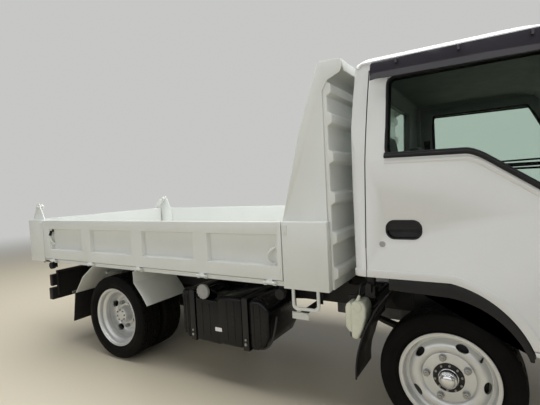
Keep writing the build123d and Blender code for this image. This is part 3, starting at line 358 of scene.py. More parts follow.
# Name, pale tone, deep tone, roughness, dust's top and amount, streaks, orange peel, clear coat
paintFinish("cab_white", (0.74, 0.75, 0.74), (0.71, 0.72, 0.71), (0.16, 0.24), 0.9, 0.05, 0.04,
            420, 0.05, 0.25)
paintFinish("bed_white", (0.74, 0.76, 0.73), (0.70, 0.72, 0.69), (0.30, 0.42), 0.85, 0.08, 0.10,
            300, 0.12, 0.1)
paintFinish("chassis_black", (0.008, 0.008, 0.0095), (0.013, 0.0125, 0.012), (0.36, 0.55), 0.75, 0.14, 0.15,
            160, 0.2, 0.0)
# Name, colour, roughness, grain's scale and strength, dust's top and amount
plasticFinish("tank_black", (0.0022, 0.0022, 0.0032), 0.20, 500, 0.04, 0.7, 0.02, Specular_IOR_Level=0.28)
plasticFinish("black_plastic", (0.010, 0.010, 0.0115), 0.42, 900, 0.25, 0.8, 0.05, Specular_IOR_Level=0.3)
plasticFinish("grey_plastic", (0.19, 0.19, 0.188), 0.58, 1100, 0.3)
plasticFinish("milky_plastic", (0.66, 0.68, 0.56), 0.32, 300, 0.06, 0.7, 0.12)
plasticFinish("rubber_black", (0.007, 0.007, 0.0075), 0.58, 700, 0.2, 0.6, 0.08, Specular_IOR_Level=0.3)
plasticFinish("tyre_black", (0.004, 0.0038, 0.0036), 0.62, 650, 0.25, 0.62, 0.02, Specular_IOR_Level=0.07)
plasticFinish("lamp_red", (0.42, 0.012, 0.012), 0.12, 200, 0.05, 0.6, 0.1)
# Name, colour, roughness, metallic, spread of the gloss, its scale, dust and cast skin
metalFinish("wheel_silver", (0.71, 0.72, 0.71), 0.28, 0.55, 0.12, 22, 0.05)
metalFinish("bright_metal", (0.78, 0.78, 0.79), 0.14, 1.0, 0.12, 30, 0.05)
metalFinish("exhaust_steel", (0.30, 0.27, 0.24), 0.45, 0.85, 0.25, 12, 0.4, 0.2)
metalFinish("engine_cast", (0.16, 0.16, 0.16), 0.55, 0.4, 0.25, 18, 0.4, 0.4)
glassFinish("window_glass", (0.69, 0.785, 0.72), 1.08, 0.0)
glassFinish("lamp_clear", (0.93, 0.95, 0.96), 1.3, 0.02)
clothFinish("seat_fabric", (0.055, 0.056, 0.062), (0.10, 0.10, 0.108))
# Finishes that only trim pieces use, on a slot of the record
plasticFinish("lamp_amber", (0.62, 0.17, 0.01), 0.12, 200, 0.05)
plasticFinish("lamp_white", (0.66, 0.68, 0.68), 0.12, 200, 0.05)
plasticFinish("smoke_plastic", (0.030, 0.027, 0.034), 0.09, 200, 0.02)
plasticFinish("label_white", (0.72, 0.72, 0.70), 0.4, 400, 0.05, 0.5, 0.2)
plasticFinish("hose_black", (0.012, 0.012, 0.013), 0.42, 800, 0.1, 0.6, 0.2)
plasticFinish("trim_grey", (0.30, 0.30, 0.29), 0.55, 900, 0.2)
metalFinish("mirror_silver", (0.86, 0.87, 0.88), 0.015, 1.0, 0.02, 3)
metalFinish("zinc_steel", (0.42, 0.42, 0.41), 0.32, 0.9, 0.2, 40, 0.15)
for node, slot in nodeSlot.items():
    nodes[node].data.materials.clear()
    nodes[node].data.materials.append(finishes[slot])
print("finishes made:", len(finishes))


# Ways of working that every piece uses
def clearPick():
    if bpy.context.object and bpy.context.object.mode != "OBJECT":
        bpy.ops.object.mode_set(mode="OBJECT")
    bpy.ops.object.select_all(action="DESELECT")


def pick(piece):
    clearPick()
    piece.select_set(True)
    bpy.context.view_layer.objects.active = piece


def editAll():
    bpy.ops.object.mode_set(mode="EDIT")
    bpy.ops.mesh.select_all(action="SELECT")


def endEdit():
    # Faces look outward, whatever drew them
    bpy.ops.mesh.select_all(action="SELECT")
    bpy.ops.mesh.normals_make_consistent(inside=False)
    bpy.ops.object.mode_set(mode="OBJECT")


def useModifier(piece, kind, **values):
    pick(piece)
    modifier = piece.modifiers.new(kind.title(), kind)
    for name, value in values.items():
        setattr(modifier, name, value)
    bpy.ops.object.modifier_apply(modifier=modifier.name)


def easeEdges(piece, width, segments=2, angle=50, **extra):
    if width:
        useModifier(piece, "BEVEL", width=width, segments=segments, limit_method="ANGLE",
                    angle_limit=math.radians(angle), **extra)


def settle(piece):
    # Place, turn and size go into the mesh
    pick(piece)
    bpy.ops.object.transform_apply(location=True, rotation=True, scale=True)


def smooth(piece, degrees=32):
    pick(piece)
    bpy.ops.object.shade_smooth_by_angle(angle=math.radians(degrees))


def named(piece, name):
    piece.name = name
    piece.data.name = name
    return piece


def joinAll(pieces, name):
    clearPick()
    for piece in pieces:
        piece.select_set(True)
    bpy.context.view_layer.objects.active = pieces[0]
    if len(pieces) > 1:
        bpy.ops.object.join()
    return named(bpy.context.object, name)


def dress(piece, body, slot, *replaced, paint=None):
    # The slot's own finish, or another paint on that slot
    piece.data.materials.clear()
    piece.data.materials.append(finishes[paint or slot])
    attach(piece, body)
    if replaced:
        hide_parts(*replaced)
    return piece


acrossTruck = Matrix.Scale(-1, 4, (0, 1, 0))


def twin(piece, name, moved):
    # Copy of a piece with its own mesh, moved by a matrix and turned right side out if mirrored
    other = piece.copy()
    other.data = piece.data.copy()
    bpy.context.scene.collection.objects.link(other)
    other.data.transform(moved)
    if moved.determinant() < 0:
        other.data.flip_normals()
    return named(other, name)


def dressPair(piece, body, slot, *replaced, paint=None):
    # A right-hand piece and its copy for the left. {} stands for the side.
    left = twin(piece, piece.name.replace("_right", "_left"), acrossTruck)
    for made, side in ((piece, "right"), (left, "left")):
        dress(made, body.format(side), slot, *[node.format(side) for node in replaced], paint=paint)


def block(low, high, bevel=0.002, segments=2):
    # Plate or bar between two corners with eased edges
    low, high = Vector(low), Vector(high)
    bpy.ops.mesh.primitive_cube_add(size=1, location=(low + high) / 2)
    piece = bpy.context.object
    piece.scale = high - low
    settle(piece)
    if bevel:
        useModifier(piece, "BEVEL", width=bevel, segments=segments, limit_method="NONE")
    return piece


def blocks(rows):
    return [block(*row) for row in rows]


def aimed(piece, direction):
    # The piece's own Z is turned to the direction
    piece.rotation_mode = "QUATERNION"
    piece.rotation_quaternion = Vector(direction).to_track_quat("Z", "Y")
    settle(piece)


def rod(start, end, radius, sides=16, bevel=0.0, farRadius=None):
    # Round bar, or cone where the far radius differs, between two points
    start, end = Vector(start), Vector(end)
    run = end - start
    size = {"vertices": sides, "depth": run.length, "location": (start + end) / 2}
    if farRadius is None:
        bpy.ops.mesh.primitive_cylinder_add(radius=radius, **size)
    else:
        bpy.ops.mesh.primitive_cone_add(radius1=radius, radius2=farRadius, **size)
    piece = bpy.context.object
    aimed(piece, run)
    easeEdges(piece, bevel)
    return piece


def rods(rows):
    return [rod(*row) for row in rows]


def drawPath(points):
    # One vertex, extruded from point to point
    clearPick()
    bpy.ops.mesh.primitive_plane_add(size=0.01, location=(0, 0, 0))
    editAll()
    bpy.ops.mesh.select_mode(type="VERT")
    bpy.ops.mesh.select_all(action="SELECT")
    bpy.ops.mesh.merge(type="CENTER")
    bpy.ops.transform.translate(value=points[0])
    for point, following in zip(points, points[1:]):
        move = tuple(b - a for a, b in zip(point, following))
        bpy.ops.mesh.extrude_region_move(TRANSFORM_OT_translate={"value": move})
    bpy.ops.mesh.select_all(action="SELECT")
    return bpy.context.object


def turned(name, profile, centre, outward=(0, -1, 0), steps=64, sharp=32):
    # Lathe shape from a profile in millimetres: distance out, then radius
    piece = drawPath([(radius / 1000, 0, out / 1000) for out, radius in profile])
    bpy.ops.mesh.remove_doubles(threshold=0.00001)
    bpy.ops.mesh.select_all(action="SELECT")
    bpy.ops.mesh.spin(steps=steps, angle=2 * math.pi, center=(0, 0, 0), axis=(0, 0, 1))
    bpy.ops.mesh.select_all(action="SELECT")
    bpy.ops.mesh.remove_doubles(threshold=0.00001)
    endEdit()
    piece.location = centre
    aimed(piece, outward)
    if sharp:
        smooth(piece, sharp)
    return named(piece, name)


def plate(name, points, near, far, bevel=0.002, segments=2, angle=28):
    # Side-view outline, filled and pulled across from near to far
    piece = drawPath([(x, near, z) for x, z in points])
    bpy.ops.mesh.edge_face_add()
    bpy.ops.mesh.extrude_region_move(TRANSFORM_OT_translate={"value": (0, far - near, 0)})
    endEdit()
    easeEdges(piece, bevel, segments, angle)
    smooth(piece, angle + 8)
    return named(piece, name)


def tube(points, radius, sides=8, closed=False):
    # Pipe or bead along smooth points, made as a curve and turned into a mesh
    bpy.ops.curve.primitive_nurbs_path_add(location=(0, 0, 0))
    path = bpy.context.object
    path.data.splines.clear()
    spline = path.data.splines.new("POLY" if closed else "NURBS")
    spline.points.add(len(points) - 1)
    for point, place in zip(spline.points, points):
        point.co = (*place, 1)
    if closed:
        spline.use_cyclic_u = True
    else:
        spline.order_u = 3
        spline.use_endpoint_u = True
    path.data.bevel_depth = radius
    path.data.bevel_resolution = max(1, sides // 4)
    path.data.resolution_u = 6
    path.data.use_fill_caps = True
    pick(path)
    bpy.ops.object.convert(target="MESH")
    piece = bpy.context.object
    settle(piece)
    smooth(piece, 50)
    return piece


def ringOf(piece, centre, count):
    # Copies of a piece round an axle, joined into it
    shift = Matrix.Translation(centre)
    copies = [piece]
    for index in range(1, count):
        spin = Matrix.Rotation(-2 * math.pi * index / count, 4, "Y")
        copies.append(twin(piece, piece.name + str(index), shift @ spin @ shift.inverted()))
    return joinAll(copies, piece.name)


def rounded(points, radius, steps=4, closed=True):
    # The same corners, each swapped for a short arc
    count = len(points)
    result = []
    for index, corner in enumerate(points):
        corner = Vector(corner)
        if not closed and index in (0, count - 1):
            result.append(tuple(corner))
            continue
        before = Vector(points[index - 1]) - corner
        after = Vector(points[(index + 1) % count]) - corner
        reach = min(radius, before.length / 2.2, after.length / 2.2)
        start, end = corner + before.normalized() * reach, corner + after.normalized() * reach
        for step in range(steps + 1):
            share = step / steps
            result.append(tuple(start.lerp(corner, share).lerp(corner.lerp(end, share), share)))
    return result


def nodeCopy(node, name, bevel, angle=28, flat=1.2):
    # Copy of a CAD node's mesh, merged, cleared of flat edges and eased along its corners
    piece = bpy.data.objects.new(name, nodes[node].data.copy())
    bpy.context.scene.collection.objects.link(piece)
    pick(piece)
    editAll()
    bpy.ops.mesh.remove_doubles(threshold=0.00002)
    bpy.ops.mesh.dissolve_limited(angle_limit=math.radians(flat))
    bpy.ops.object.mode_set(mode="OBJECT")
    if piece.data.has_custom_normals:
        bpy.ops.mesh.customdata_custom_splitnormals_clear()
    easeEdges(piece, bevel, 2, angle, use_clamp_overlap=True, harden_normals=False)
    smooth(piece, angle + 6)
    return named(piece, name)


# Pressed and folded panels: the CAD shape with rounded edges, its width in millimetres
easedNodes = {
    "cab_shell": 4, "door_right": 3.5, "door_left": 3.5, "front_posts": 4, "rear_posts": 4, "headboard": 4,
    "side_gate_right": 4, "side_gate_left": 4, "tailgate": 4, "bed_floor": 2, "bed_members": 3,
    "bed_sills": 2.5,
    "front_bumper": 10, "arch_bands": 4, "ladder_frame": 2, "rear_bumper": 4, "battery_box": 6, "grille": 3,
    "dashboard": 12, "tank_straps": 1, "power_unit": 12, "mirrors": 8, "bed_steps": 2, "gate_stops": 3,
    "mud_flaps": 2, "leaf_springs": 2, "front_axle": 4, "rear_axle": 6, "hoist_barrel": 3, "hoist_rod": 2,
    "exhaust": 4,
}
# Inner faces trimmed in plastic: those in the cab's room that turn at least so far to its middle
lining = {
    "leastTurn": {"cab_shell": 0.0, "door_right": 0.6, "door_left": 0.6}, "middle": Vector((1.55, 0, 1.42)),
    "x": (0.94, 2.28), "halfWidth": 0.83, "z": (0.95, 1.985),
}


def easePanels():
    for node, width in easedNodes.items():
        piece = nodeCopy(node, node + "Eased", width / 1000)
        dress(piece, nodeBody[node], nodeSlot[node], node)
        if node not in lining["leastTurn"]:
            continue
        piece.data.materials.append(finishes["grey_plastic"])
        for face in piece.data.polygons:
            x, y, z = face.center
            inward = face.normal.dot((lining["middle"] - face.center).normalized())
            roomy = (abs(y) < lining["halfWidth"] and lining["x"][0] < x < lining["x"][1]
                     and lining["z"][0] < z < lining["z"][1])
            if roomy and inward > lining["leastTurn"][node]:
                face.material_index = 1


easePanels()
print("panels eased:", len(easedNodes))

# Wheels: sizes in metres, turns in degrees, profiles in millimetres (distance out from the middle, radius)
wheels = {
    "radius": 0.34, "frontX": 1.345, "rearX": -1.135, "frontY": 0.68, "rearY": 0.621, "twin": 0.23,
    "steps": 96, "studs": 5, "studRadius": 0.1035, "studTurn": 31.6,
    "holeRadius": 0.173, "holeTurn": -4.4, "holeSize": (0.0168, 0.031), "holeSides": 28, "holeDepth": 0.09,
    "crown": (340, 1.5, 56), "grooves": [(53, 45), (19, 12)], "grooveDepth": 11, "grooveLean": 1.5,
    "shoulder": (0.056, 0.080), "rib": (0.019, 0.045), "treadAbove": 0.3355,
    "notchInset": 0.0045, "notchDepth": 0.006,
    # How far out disc and nuts are, the nuts' height and the turn of both
    "front": {"discOut": 0.03, "nutsOut": 0.0545, "nutHeight": 0.019, "turn": 0},
    "rear": {"discOut": -0.035, "nutsOut": -0.0412, "nutHeight": 0.026, "turn": 20},
    # Start and end (radius, distance out), turn, thickness, sides and rounding
    "valve": [((0.196, 0.03), (0.188, 0.062), 38, 0.0042, 10),
              ((0.188, 0.06), (0.186, 0.07), 38, 0.0058, 10, 0.001)],
    "hubBolt": [((0.064, 0.058), (0.064, 0.0665), 12, 0.0062, 6, 0.0008),
                ((0.064, 0.066), (0.064, 0.07), 12, 0.0032, 8)],
    "shaftBolt": [((0.045, 0.03), (0.045, 0.043), 10, 0.0075, 6, 0.001)],
    "hubBolts": 10, "shaftBolts": 8,
}
lathes = {
    "tyreSide": [
        (76.5, 223.5), (77.5, 239.5), (83, 243.5), (90.5, 253), (94.5, 256), (95, 258), (98.2, 268),
        (101, 280), (102.2, 283), (102.6, 285), (102.2, 287.5), (101, 290.5), (100, 301), (97.2, 312),
        (95, 316), (94.5, 318.5), (90.5, 327), (85, 333), (77, 336.8), (56, 338.5)],
    # Outer lip, flange, well, crowned disc with its crease and flat face, then back behind
    "front": [
        (80, 225.5), (80.2, 234.5), (82.2, 236.8), (85, 237.2), (86.8, 235), (86.8, 231.8), (85.2, 230),
        (84.5, 224.5), (83.8, 219), (81.5, 216.5), (77, 215), (60, 213), (47, 210.5), (42, 206),
        (37.5, 197.5), (37.5, 194), (39.5, 191.5), (48, 188), (57, 181), (63.5, 171.5), (66.8, 161),
        (67, 150), (64.5, 140.5), (60.5, 133), (57, 128.5), (54.5, 126.2), (53.2, 124.5), (53.8, 122.5),
        (54.5, 119.5), (54.5, 82), (54.5, 68), (46.5, 68), (46.5, 124), (50, 130), (58, 140), (60, 150),
        (59.5, 160), (56, 169), (49, 177), (35, 185), (20, 190), (-34, 191.5), (-48, 214), (-80, 215),
        (-81.5, 234), (-76.5, 234), (-76.5, 222.5), (-52, 222), (-40, 198.5), (40, 198.5), (50, 221.5),
        (76, 222.5), (80, 225.5)],
    # The same wheel turned about: a deep barrel with the disc far in, ringed steps near the lip
    "rear": [
        (80, 225.5), (80.2, 234.5), (82.2, 236.8), (85, 237.2), (86.8, 235), (86.8, 231.8), (85.2, 230),
        (83, 223), (78, 218.5), (64, 216.5), (50, 215), (45.5, 211), (40, 201), (36, 195), (31, 192.5),
        (10, 191.5), (6, 189.5), (2, 190), (-5, 190.5), (-10, 188), (-18, 185), (-32, 180), (-46, 172),
        (-54, 162), (-56, 150), (-53, 138), (-45.5, 129), (-42, 125.5), (-41.2, 121.5), (-41.2, 90),
        (-41.2, 68), (-52, 68), (-52, 126), (-62, 148), (-61, 164), (-52, 177), (-36, 188), (-48, 214),
        (-80, 215), (-81.5, 234), (-76.5, 234), (-76.5, 222.5), (-52, 222), (-40, 198.5), (30, 198.5),
        (43, 220), (76, 222.5), (80, 225.5)],
    # Domed chrome cap on the front hub, then the flange it stands on
    "frontCap": [
        (54, 0), (54, 50.5), (60, 50), (62.5, 48), (64, 45), (85, 43.5), (90.5, 42.5), (93, 40),
        (94.5, 36.5), (96, 34.5), (101, 33), (105, 29), (108.5, 21.5), (110.5, 12), (111, 0)],
    "frontHub": [
        (44, 0), (44, 74), (56, 74), (58.5, 72), (59, 69), (59, 56), (62, 54), (62, 0)],
    "rearHub": [
        (-60, 0), (-60, 86), (-30, 86), (-28, 84), (-28, 70), (10, 60), (29, 58), (31, 56), (33, 40),
        (35, 0)],
}


def tyreProfile():
    right = list(lathes["tyreSide"])
    top, drop, reach = wheels["crown"]
    lean = wheels["grooveLean"]
    for outer, inner in wheels["grooves"]:
        crown = top - drop * (outer / reach) ** 2
        floor = crown - wheels["grooveDepth"]
        right += [(outer, crown), (outer - lean, floor), (inner + lean, floor), (inner, crown)]
    closed = right + [(-out, radius) for out, radius in reversed(right)]
    return closed + [closed[0]]


def notchShoulders(tyre, centre):
    # Some faces of each shoulder and rib are set in, which leaves blocks between notches
    mesh = bmesh.new()
    mesh.from_mesh(tyre.data)
    step = 2 * math.pi / wheels["steps"]
    for face in mesh.faces:
        across = face.calc_center_median() - Vector(centre)
        sector = int((math.atan2(across.z, across.x) + math.pi) / step)
        tread = wheels["treadAbove"] < math.hypot(across.x, across.z)
        shoulder = wheels["shoulder"][0] < abs(across.y) < wheels["shoulder"][1]
        rib = wheels["rib"][0] < abs(across.y) < wheels["rib"][1]
        face.select = tread and ((shoulder and sector % 3 == 0) or (rib and sector % 4 == 0))
    mesh.select_flush(False)
    mesh.to_mesh(tyre.data)
    mesh.free()
    pick(tyre)
    bpy.ops.object.mode_set(mode="EDIT")
    bpy.ops.mesh.select_mode(type="FACE")
    bpy.ops.mesh.inset(thickness=wheels["notchInset"], depth=-wheels["notchDepth"], use_individual=True)
    bpy.ops.object.mode_set(mode="OBJECT")


def buildTyre(name, centre):
    # One tyre, its outer side towards -Y
    tyre = turned(name, tyreProfile(), centre, steps=wheels["steps"], sharp=0)
    notchShoulders(tyre, centre)
    smooth(tyre, 28)
    return tyre


def polar(centre, radius, degrees, out):
    # Point on the wheel's near side. Turns are read as in the side view, forwards then up.
    angle = math.radians(degrees)
    return (centre[0] + radius * math.cos(angle), centre[1] - out, centre[2] + radius * math.sin(angle))


def polarRods(name, centre, rows):
    # Rods between (radius, distance out) points of the wheel, joined
    made = []
    for start, end, degrees, *size in rows:
        made.append(rod(*[polar(centre, radius, degrees, out) for radius, out in (start, end)], *size))
    return joinAll(made, name)


def cutHandHoles(disc, kind, centre):
    cutters = []
    for index in range(wheels["studs"]):
        degrees = wheels["holeTurn"] + wheels[kind]["turn"] + 360 / wheels["studs"] * index
        place = polar(centre, wheels["holeRadius"], degrees, wheels[kind]["discOut"])
        bpy.ops.mesh.primitive_cylinder_add(vertices=wheels["holeSides"], radius=1, location=place,
                                            depth=wheels["holeDepth"])
        cutter = bpy.context.object
        cutter.scale = (*wheels["holeSize"], 1)
        cutter.rotation_euler = (math.pi / 2, -math.radians(degrees), 0)
        settle(cutter)
        cutters.append(cutter)
    cutter = joinAll(cutters, "handHoleCutter")
    useModifier(disc, "BOOLEAN", object=cutter, operation="DIFFERENCE", solver="EXACT")
    bpy.data.objects.remove(cutter)


def buildRim(name, kind, centre):
    disc = turned(name, lathes[kind], centre, steps=wheels["steps"], sharp=0)
    cutHandHoles(disc, kind, centre)
    easeEdges(disc, 0.0014, 2, 62)
    smooth(disc, 34)
    return disc


def dressNuts(name, kind, centre, body):
    # Seat washer, hexagon and stud, then a ring of them
    height, turn = wheels[kind]["nutHeight"], wheels["studTurn"] + wheels[kind]["turn"]
    x, y, z = polar(centre, wheels["studRadius"], turn, wheels[kind]["nutsOut"])
    nut = joinAll([rod((x, y + 0.001, z), (x, y - 0.004, z), 0.0185, 20, 0.0012),
                   rod((x, y - 0.003, z), (x, y - 0.003 - height, z), 0.0165, 6, 0.0016),
                   rod((x, y - height, z), (x, y - height - 0.011, z), 0.0075, 12, 0.0012)], name)
    smooth(nut, 40)
    dressPair(ringOf(nut, centre, wheels["studs"]), body, "wheel_silver", paint="zinc_steel")


def makeFrontWheels():
    centre = (wheels["frontX"], -wheels["frontY"], wheels["radius"])
    on = "front_wheel_{}"
    dressPair(buildTyre("frontTyreTread_right", centre), on, "tyre_black", "front_tyre_{}")
    dressPair(buildRim("frontWheelDisc_right", "front", centre), on, "wheel_silver", "front_rim_{}")
    dressPair(polarRods("frontTyreValve_right", centre, wheels["valve"]), on, "rubber_black")
    # Dark flange with its ring of small bolts and a domed cap
    dressPair(turned("frontHubFlange_right", lathes["frontHub"], centre, steps=48), on, "chassis_black")
    bolt = polarRods("frontHubBolts_right", centre, wheels["hubBolt"])
    dressPair(ringOf(bolt, centre, wheels["hubBolts"]), on, "wheel_silver", paint="zinc_steel")
    dressPair(turned("frontHubCap_right", lathes["frontCap"], centre, steps=40, sharp=40), on, "bright_metal")
    dressNuts("frontWheelNuts_right", "front", centre, on)


def makeRearWheels():
    # The outer rim is dished in, and the inner one is its mirror image
    outerY, innerY = [-(wheels["rearY"] + side * wheels["twin"] / 2) for side in (1, -1)]
    centre = (wheels["rearX"], outerY, wheels["radius"])
    on = "rear_wheels_{}"
    tyre = buildTyre("rearTyreOuter", centre)
    tyres = [tyre, twin(tyre, "rearTyreInner", Matrix.Translation((0, innerY - outerY, 0)))]
    dressPair(joinAll(tyres, "rearTyreTread_right"), on, "tyre_black", "rear_tyres_{}")
    disc = buildRim("rearDiscOuter", "rear", centre)
    about = Matrix.Translation((0, innerY, 0)) @ acrossTruck @ Matrix.Translation((0, -outerY, 0))
    discs = [disc, twin(disc, "rearDiscInner", about)]
    dressPair(joinAll(discs, "rearWheelDisc_right"), on, "wheel_silver", "rear_rims_{}")
    dressPair(turned("rearHubDrum_right", lathes["rearHub"], centre, steps=40, sharp=40), on, "wheel_silver")
    bolt = polarRods("rearShaftBolts_right", centre, wheels["shaftBolt"])
    dressPair(ringOf(bolt, centre, wheels["shaftBolts"]), on, "wheel_silver", paint="zinc_steel")
    dressNuts("rearWheelNuts_right", "rear", centre, on)


makeFrontWheels()
makeRearWheels()
print("wheels dressed")


cabForm = {"beltZ": 1.442, "roofAbove": 0.528, "half": 0.845, "lean": 0.06, "curve": 0.04}


def cabSide(z):
    # Half width of the cab at a height: upright to the belt, then leaning in to the roof
    share = max(0.0, (z - cabForm["beltZ"]) / cabForm["roofAbove"])
    return cabForm["half"] - cabForm["lean"] * share - cabForm["curve"] * share * share


# Fuel tank: three lobes with strap grooves between them, a filler neck and a blank label
tank = {
    "near": -0.8, "far": -0.395, "low": 0.29,
    "lobes": [  # rounding, outline in side view. The middle lobe is made of two.
        (0.022, [(-0.4, 0.345), (-0.372, 0.296), (-0.329, 0.292), (-0.329, 0.64), (-0.4, 0.64)]),
        (0.020, [(-0.271, 0.294), (-0.06, 0.29), (-0.06, 0.588), (-0.252, 0.59), (-0.271, 0.61)]),
        (0.020, [(-0.084, 0.29), (0.124, 0.292), (0.124, 0.624), (0.1, 0.628), (-0.05, 0.628), (-0.07, 0.612),
                 (-0.084, 0.56)]),
        (0.024, [(0.182, 0.292), (0.238, 0.298), (0.29, 0.33), (0.326, 0.4), (0.33, 0.57), (0.3, 0.606),
                 (0.262, 0.627), (0.182, 0.628)]),
    ],
    "waist": [(-0.345, 0.306), (0.21, 0.304), (0.21, 0.608), (-0.04, 0.608), (-0.08, 0.572), (-0.25, 0.572),
              (-0.275, 0.62), (-0.345, 0.62)],
    "ribsX": (-0.376, -0.352, -0.215, -0.15, 0, 0.06, 0.214, 0.262),
    "ribTop": 0.598, "dip": (-0.26, -0.09), "dipTop": 0.56,
    "label": ((-0.1, -0.8052, 0.382), (-0.044, -0.8, 0.408)),
    "filler": (-0.19, -0.812, 0.645), "grips": 14,
    "cap": [(-30, 0), (-30, 36), (-20, 40), (-16, 48.5), (0, 50), (4, 49), (6, 46.5), (6.5, 40), (3, 38.5),
            (2.5, 30), (4, 28.5), (4, 0)],
    "vent": [(0.14, -0.7, 0.284), (0.23, -0.765, 0.288), (0.32, -0.772, 0.335), (0.352, -0.765, 0.43),
             (0.356, -0.74, 0.52)],
    "strapsX": (-0.3, 0.153),
    "strapBolts": [(0.33, 0.812, 0.01, 6), (0.36, 0.811, 0.007, 12)],  # height, reach, radius, sides
}


def makeTank():
    near, foot = tank["near"], tank["low"] + 0.04
    lobes = [plate("tankLobe", outline, near, tank["far"], rounding, 4, 40)
             for rounding, outline in tank["lobes"]]
    lobes.append(plate("tankWaist", tank["waist"], near + 0.014, tank["far"] - 0.01, 0.012, 3, 40))
    for x in tank["ribsX"]:
        top = tank["dipTop"] if tank["dip"][0] < x < tank["dip"][1] else tank["ribTop"]
        lobes.append(block((x - 0.007, near - 0.003, foot), (x + 0.007, near + 0.01, top), 0.0032, 3))
    body = joinAll(lobes, "tankMoulding")
    smooth(body, 44)
    dress(body, "chassis", "tank_black", "fuel_tank")
    dress(named(block(*tank["label"], 0.0015), "tankLabel"), "chassis", "tank_black", paint="label_white")
    x, y, z = tank["filler"]
    ring = turned("fillerCapRing", tank["cap"], (x, y + 0.004, z), steps=40, sharp=40)
    grip = block((x - 0.0045, y - 0.0015, z + 0.0465), (x + 0.0045, y + 0.014, z + 0.052), 0.001)
    key = block((x - 0.017, y - 0.0065, z - 0.005), (x + 0.017, y + 0.001, z + 0.005))
    cap = joinAll([ring, ringOf(grip, (x, y, z), tank["grips"]), key], "fillerCapRing")
    dress(cap, "chassis", nodeSlot["filler_cap"], "filler_cap", paint="trim_grey")
    neck = joinAll([rod((x, y + 0.03, z), (x + 0.01, -0.7, z - 0.055), 0.03, 28, 0.004),
                    rod((x, y + 0.036, z), (x, y + 0.052, z), 0.036, 28, 0.003)], "fillerNeck")
    dress(neck, "chassis", "tank_black", "filler_cap")
    dress(named(tube(tank["vent"], 0.0075), "tankVentPipe"), "chassis", "rubber_black", paint="hose_black")
    bolts = [rod((x, near - 0.0035, z), (x, -reach, z), radius, sides, 0.001)
             for x in tank["strapsX"] for z, reach, radius, sides in tank["strapBolts"]]
    dress(joinAll(bolts, "tankStrapBolts"), "chassis", "chassis_black", paint="zinc_steel")


makeTank()
print("tank dressed")

# Coolant bottle: tall body with a waist, flat cap and its pipe
bottle = {
    "front": [(0.852, 0.47), (0.892, 0.466), (0.92, 0.53), (0.937, 0.59), (0.942, 0.65), (0.925, 0.682),
              (0.87, 0.684), (0.852, 0.655), (0.848, 0.56)],
    "back": [(0.836, 0.505), (0.852, 0.5), (0.856, 0.66), (0.845, 0.672), (0.826, 0.664), (0.818, 0.64),
             (0.818, 0.53)],
    "capPlace": (0.89, -0.761, 0.652),
    "cap": [(-6, 0), (-6, 24), (0, 28.5), (4, 28.5), (6, 26), (6.5, 18), (4, 16), (4, 0)],
    "pipe": [(0.898, -0.728, 0.708), (0.897, -0.722, 0.752), (0.908, -0.7, 0.776), (0.935, -0.64, 0.78),
             (0.96, -0.56, 0.745), (0.965, -0.45, 0.716)],
    "seam": ((0.85, -0.7635, 0.5985), (0.9375, -0.6385, 0.604)),
    "neck": ((0.885, -0.735, 0.676), (0.898, -0.728, 0.712), 0.013, 20, 0.002, 0.007),
    "bracket": [((0.806, -0.66, 0.558), (0.884, -0.346, 0.577)),
                ((0.812, -0.668, 0.44), (0.878, -0.634, 0.69), 0.003),
                ((0.846, -0.69, 0.69), (0.9, -0.346, 0.702))],
}
# Rest that the back corner of the cab is latched to
cabRest = {
    "bars": [((0.925, -0.715, 0.7), (0.985, -0.346, 0.722), 0.003),
             ((0.93, -0.74, 0.716), (0.992, -0.668, 0.775), 0.008, 3),
             ((0.945, -0.76, 0.738), (0.975, -0.735, 0.79), 0.004)],
    "pin": ((0.962, -0.705, 0.77), (0.962, -0.705, 0.822), 0.026, 24, 0.004),
}


def makeBottle():
    body = joinAll([plate("bottleFront", bottle["front"], -0.762, -0.64, 0.014, 4, 30),
                    plate("bottleRear", bottle["back"], -0.752, -0.65, 0.007, 3, 30),
                    block(*bottle["seam"]), rod(*bottle["neck"])], "coolantBottleBody")
    smooth(body, 40)
    dress(body, "chassis", "milky_plastic", "coolant_bottle")
    dress(turned("coolantBottleCap", bottle["cap"], bottle["capPlace"], steps=32), "chassis", "milky_plastic")
    dress(joinAll(blocks(bottle["bracket"]), "coolantBottleBracket"), "chassis", "chassis_black")
    dress(named(tube(bottle["pipe"], 0.0065), "coolantPipe"), "chassis", "rubber_black", paint="hose_black")
    rest = joinAll(blocks(cabRest["bars"]) + [rod(*cabRest["pin"])], "cabRest_right")
    dressPair(rest, "chassis", "chassis_black")


makeBottle()
print("bottle dressed")

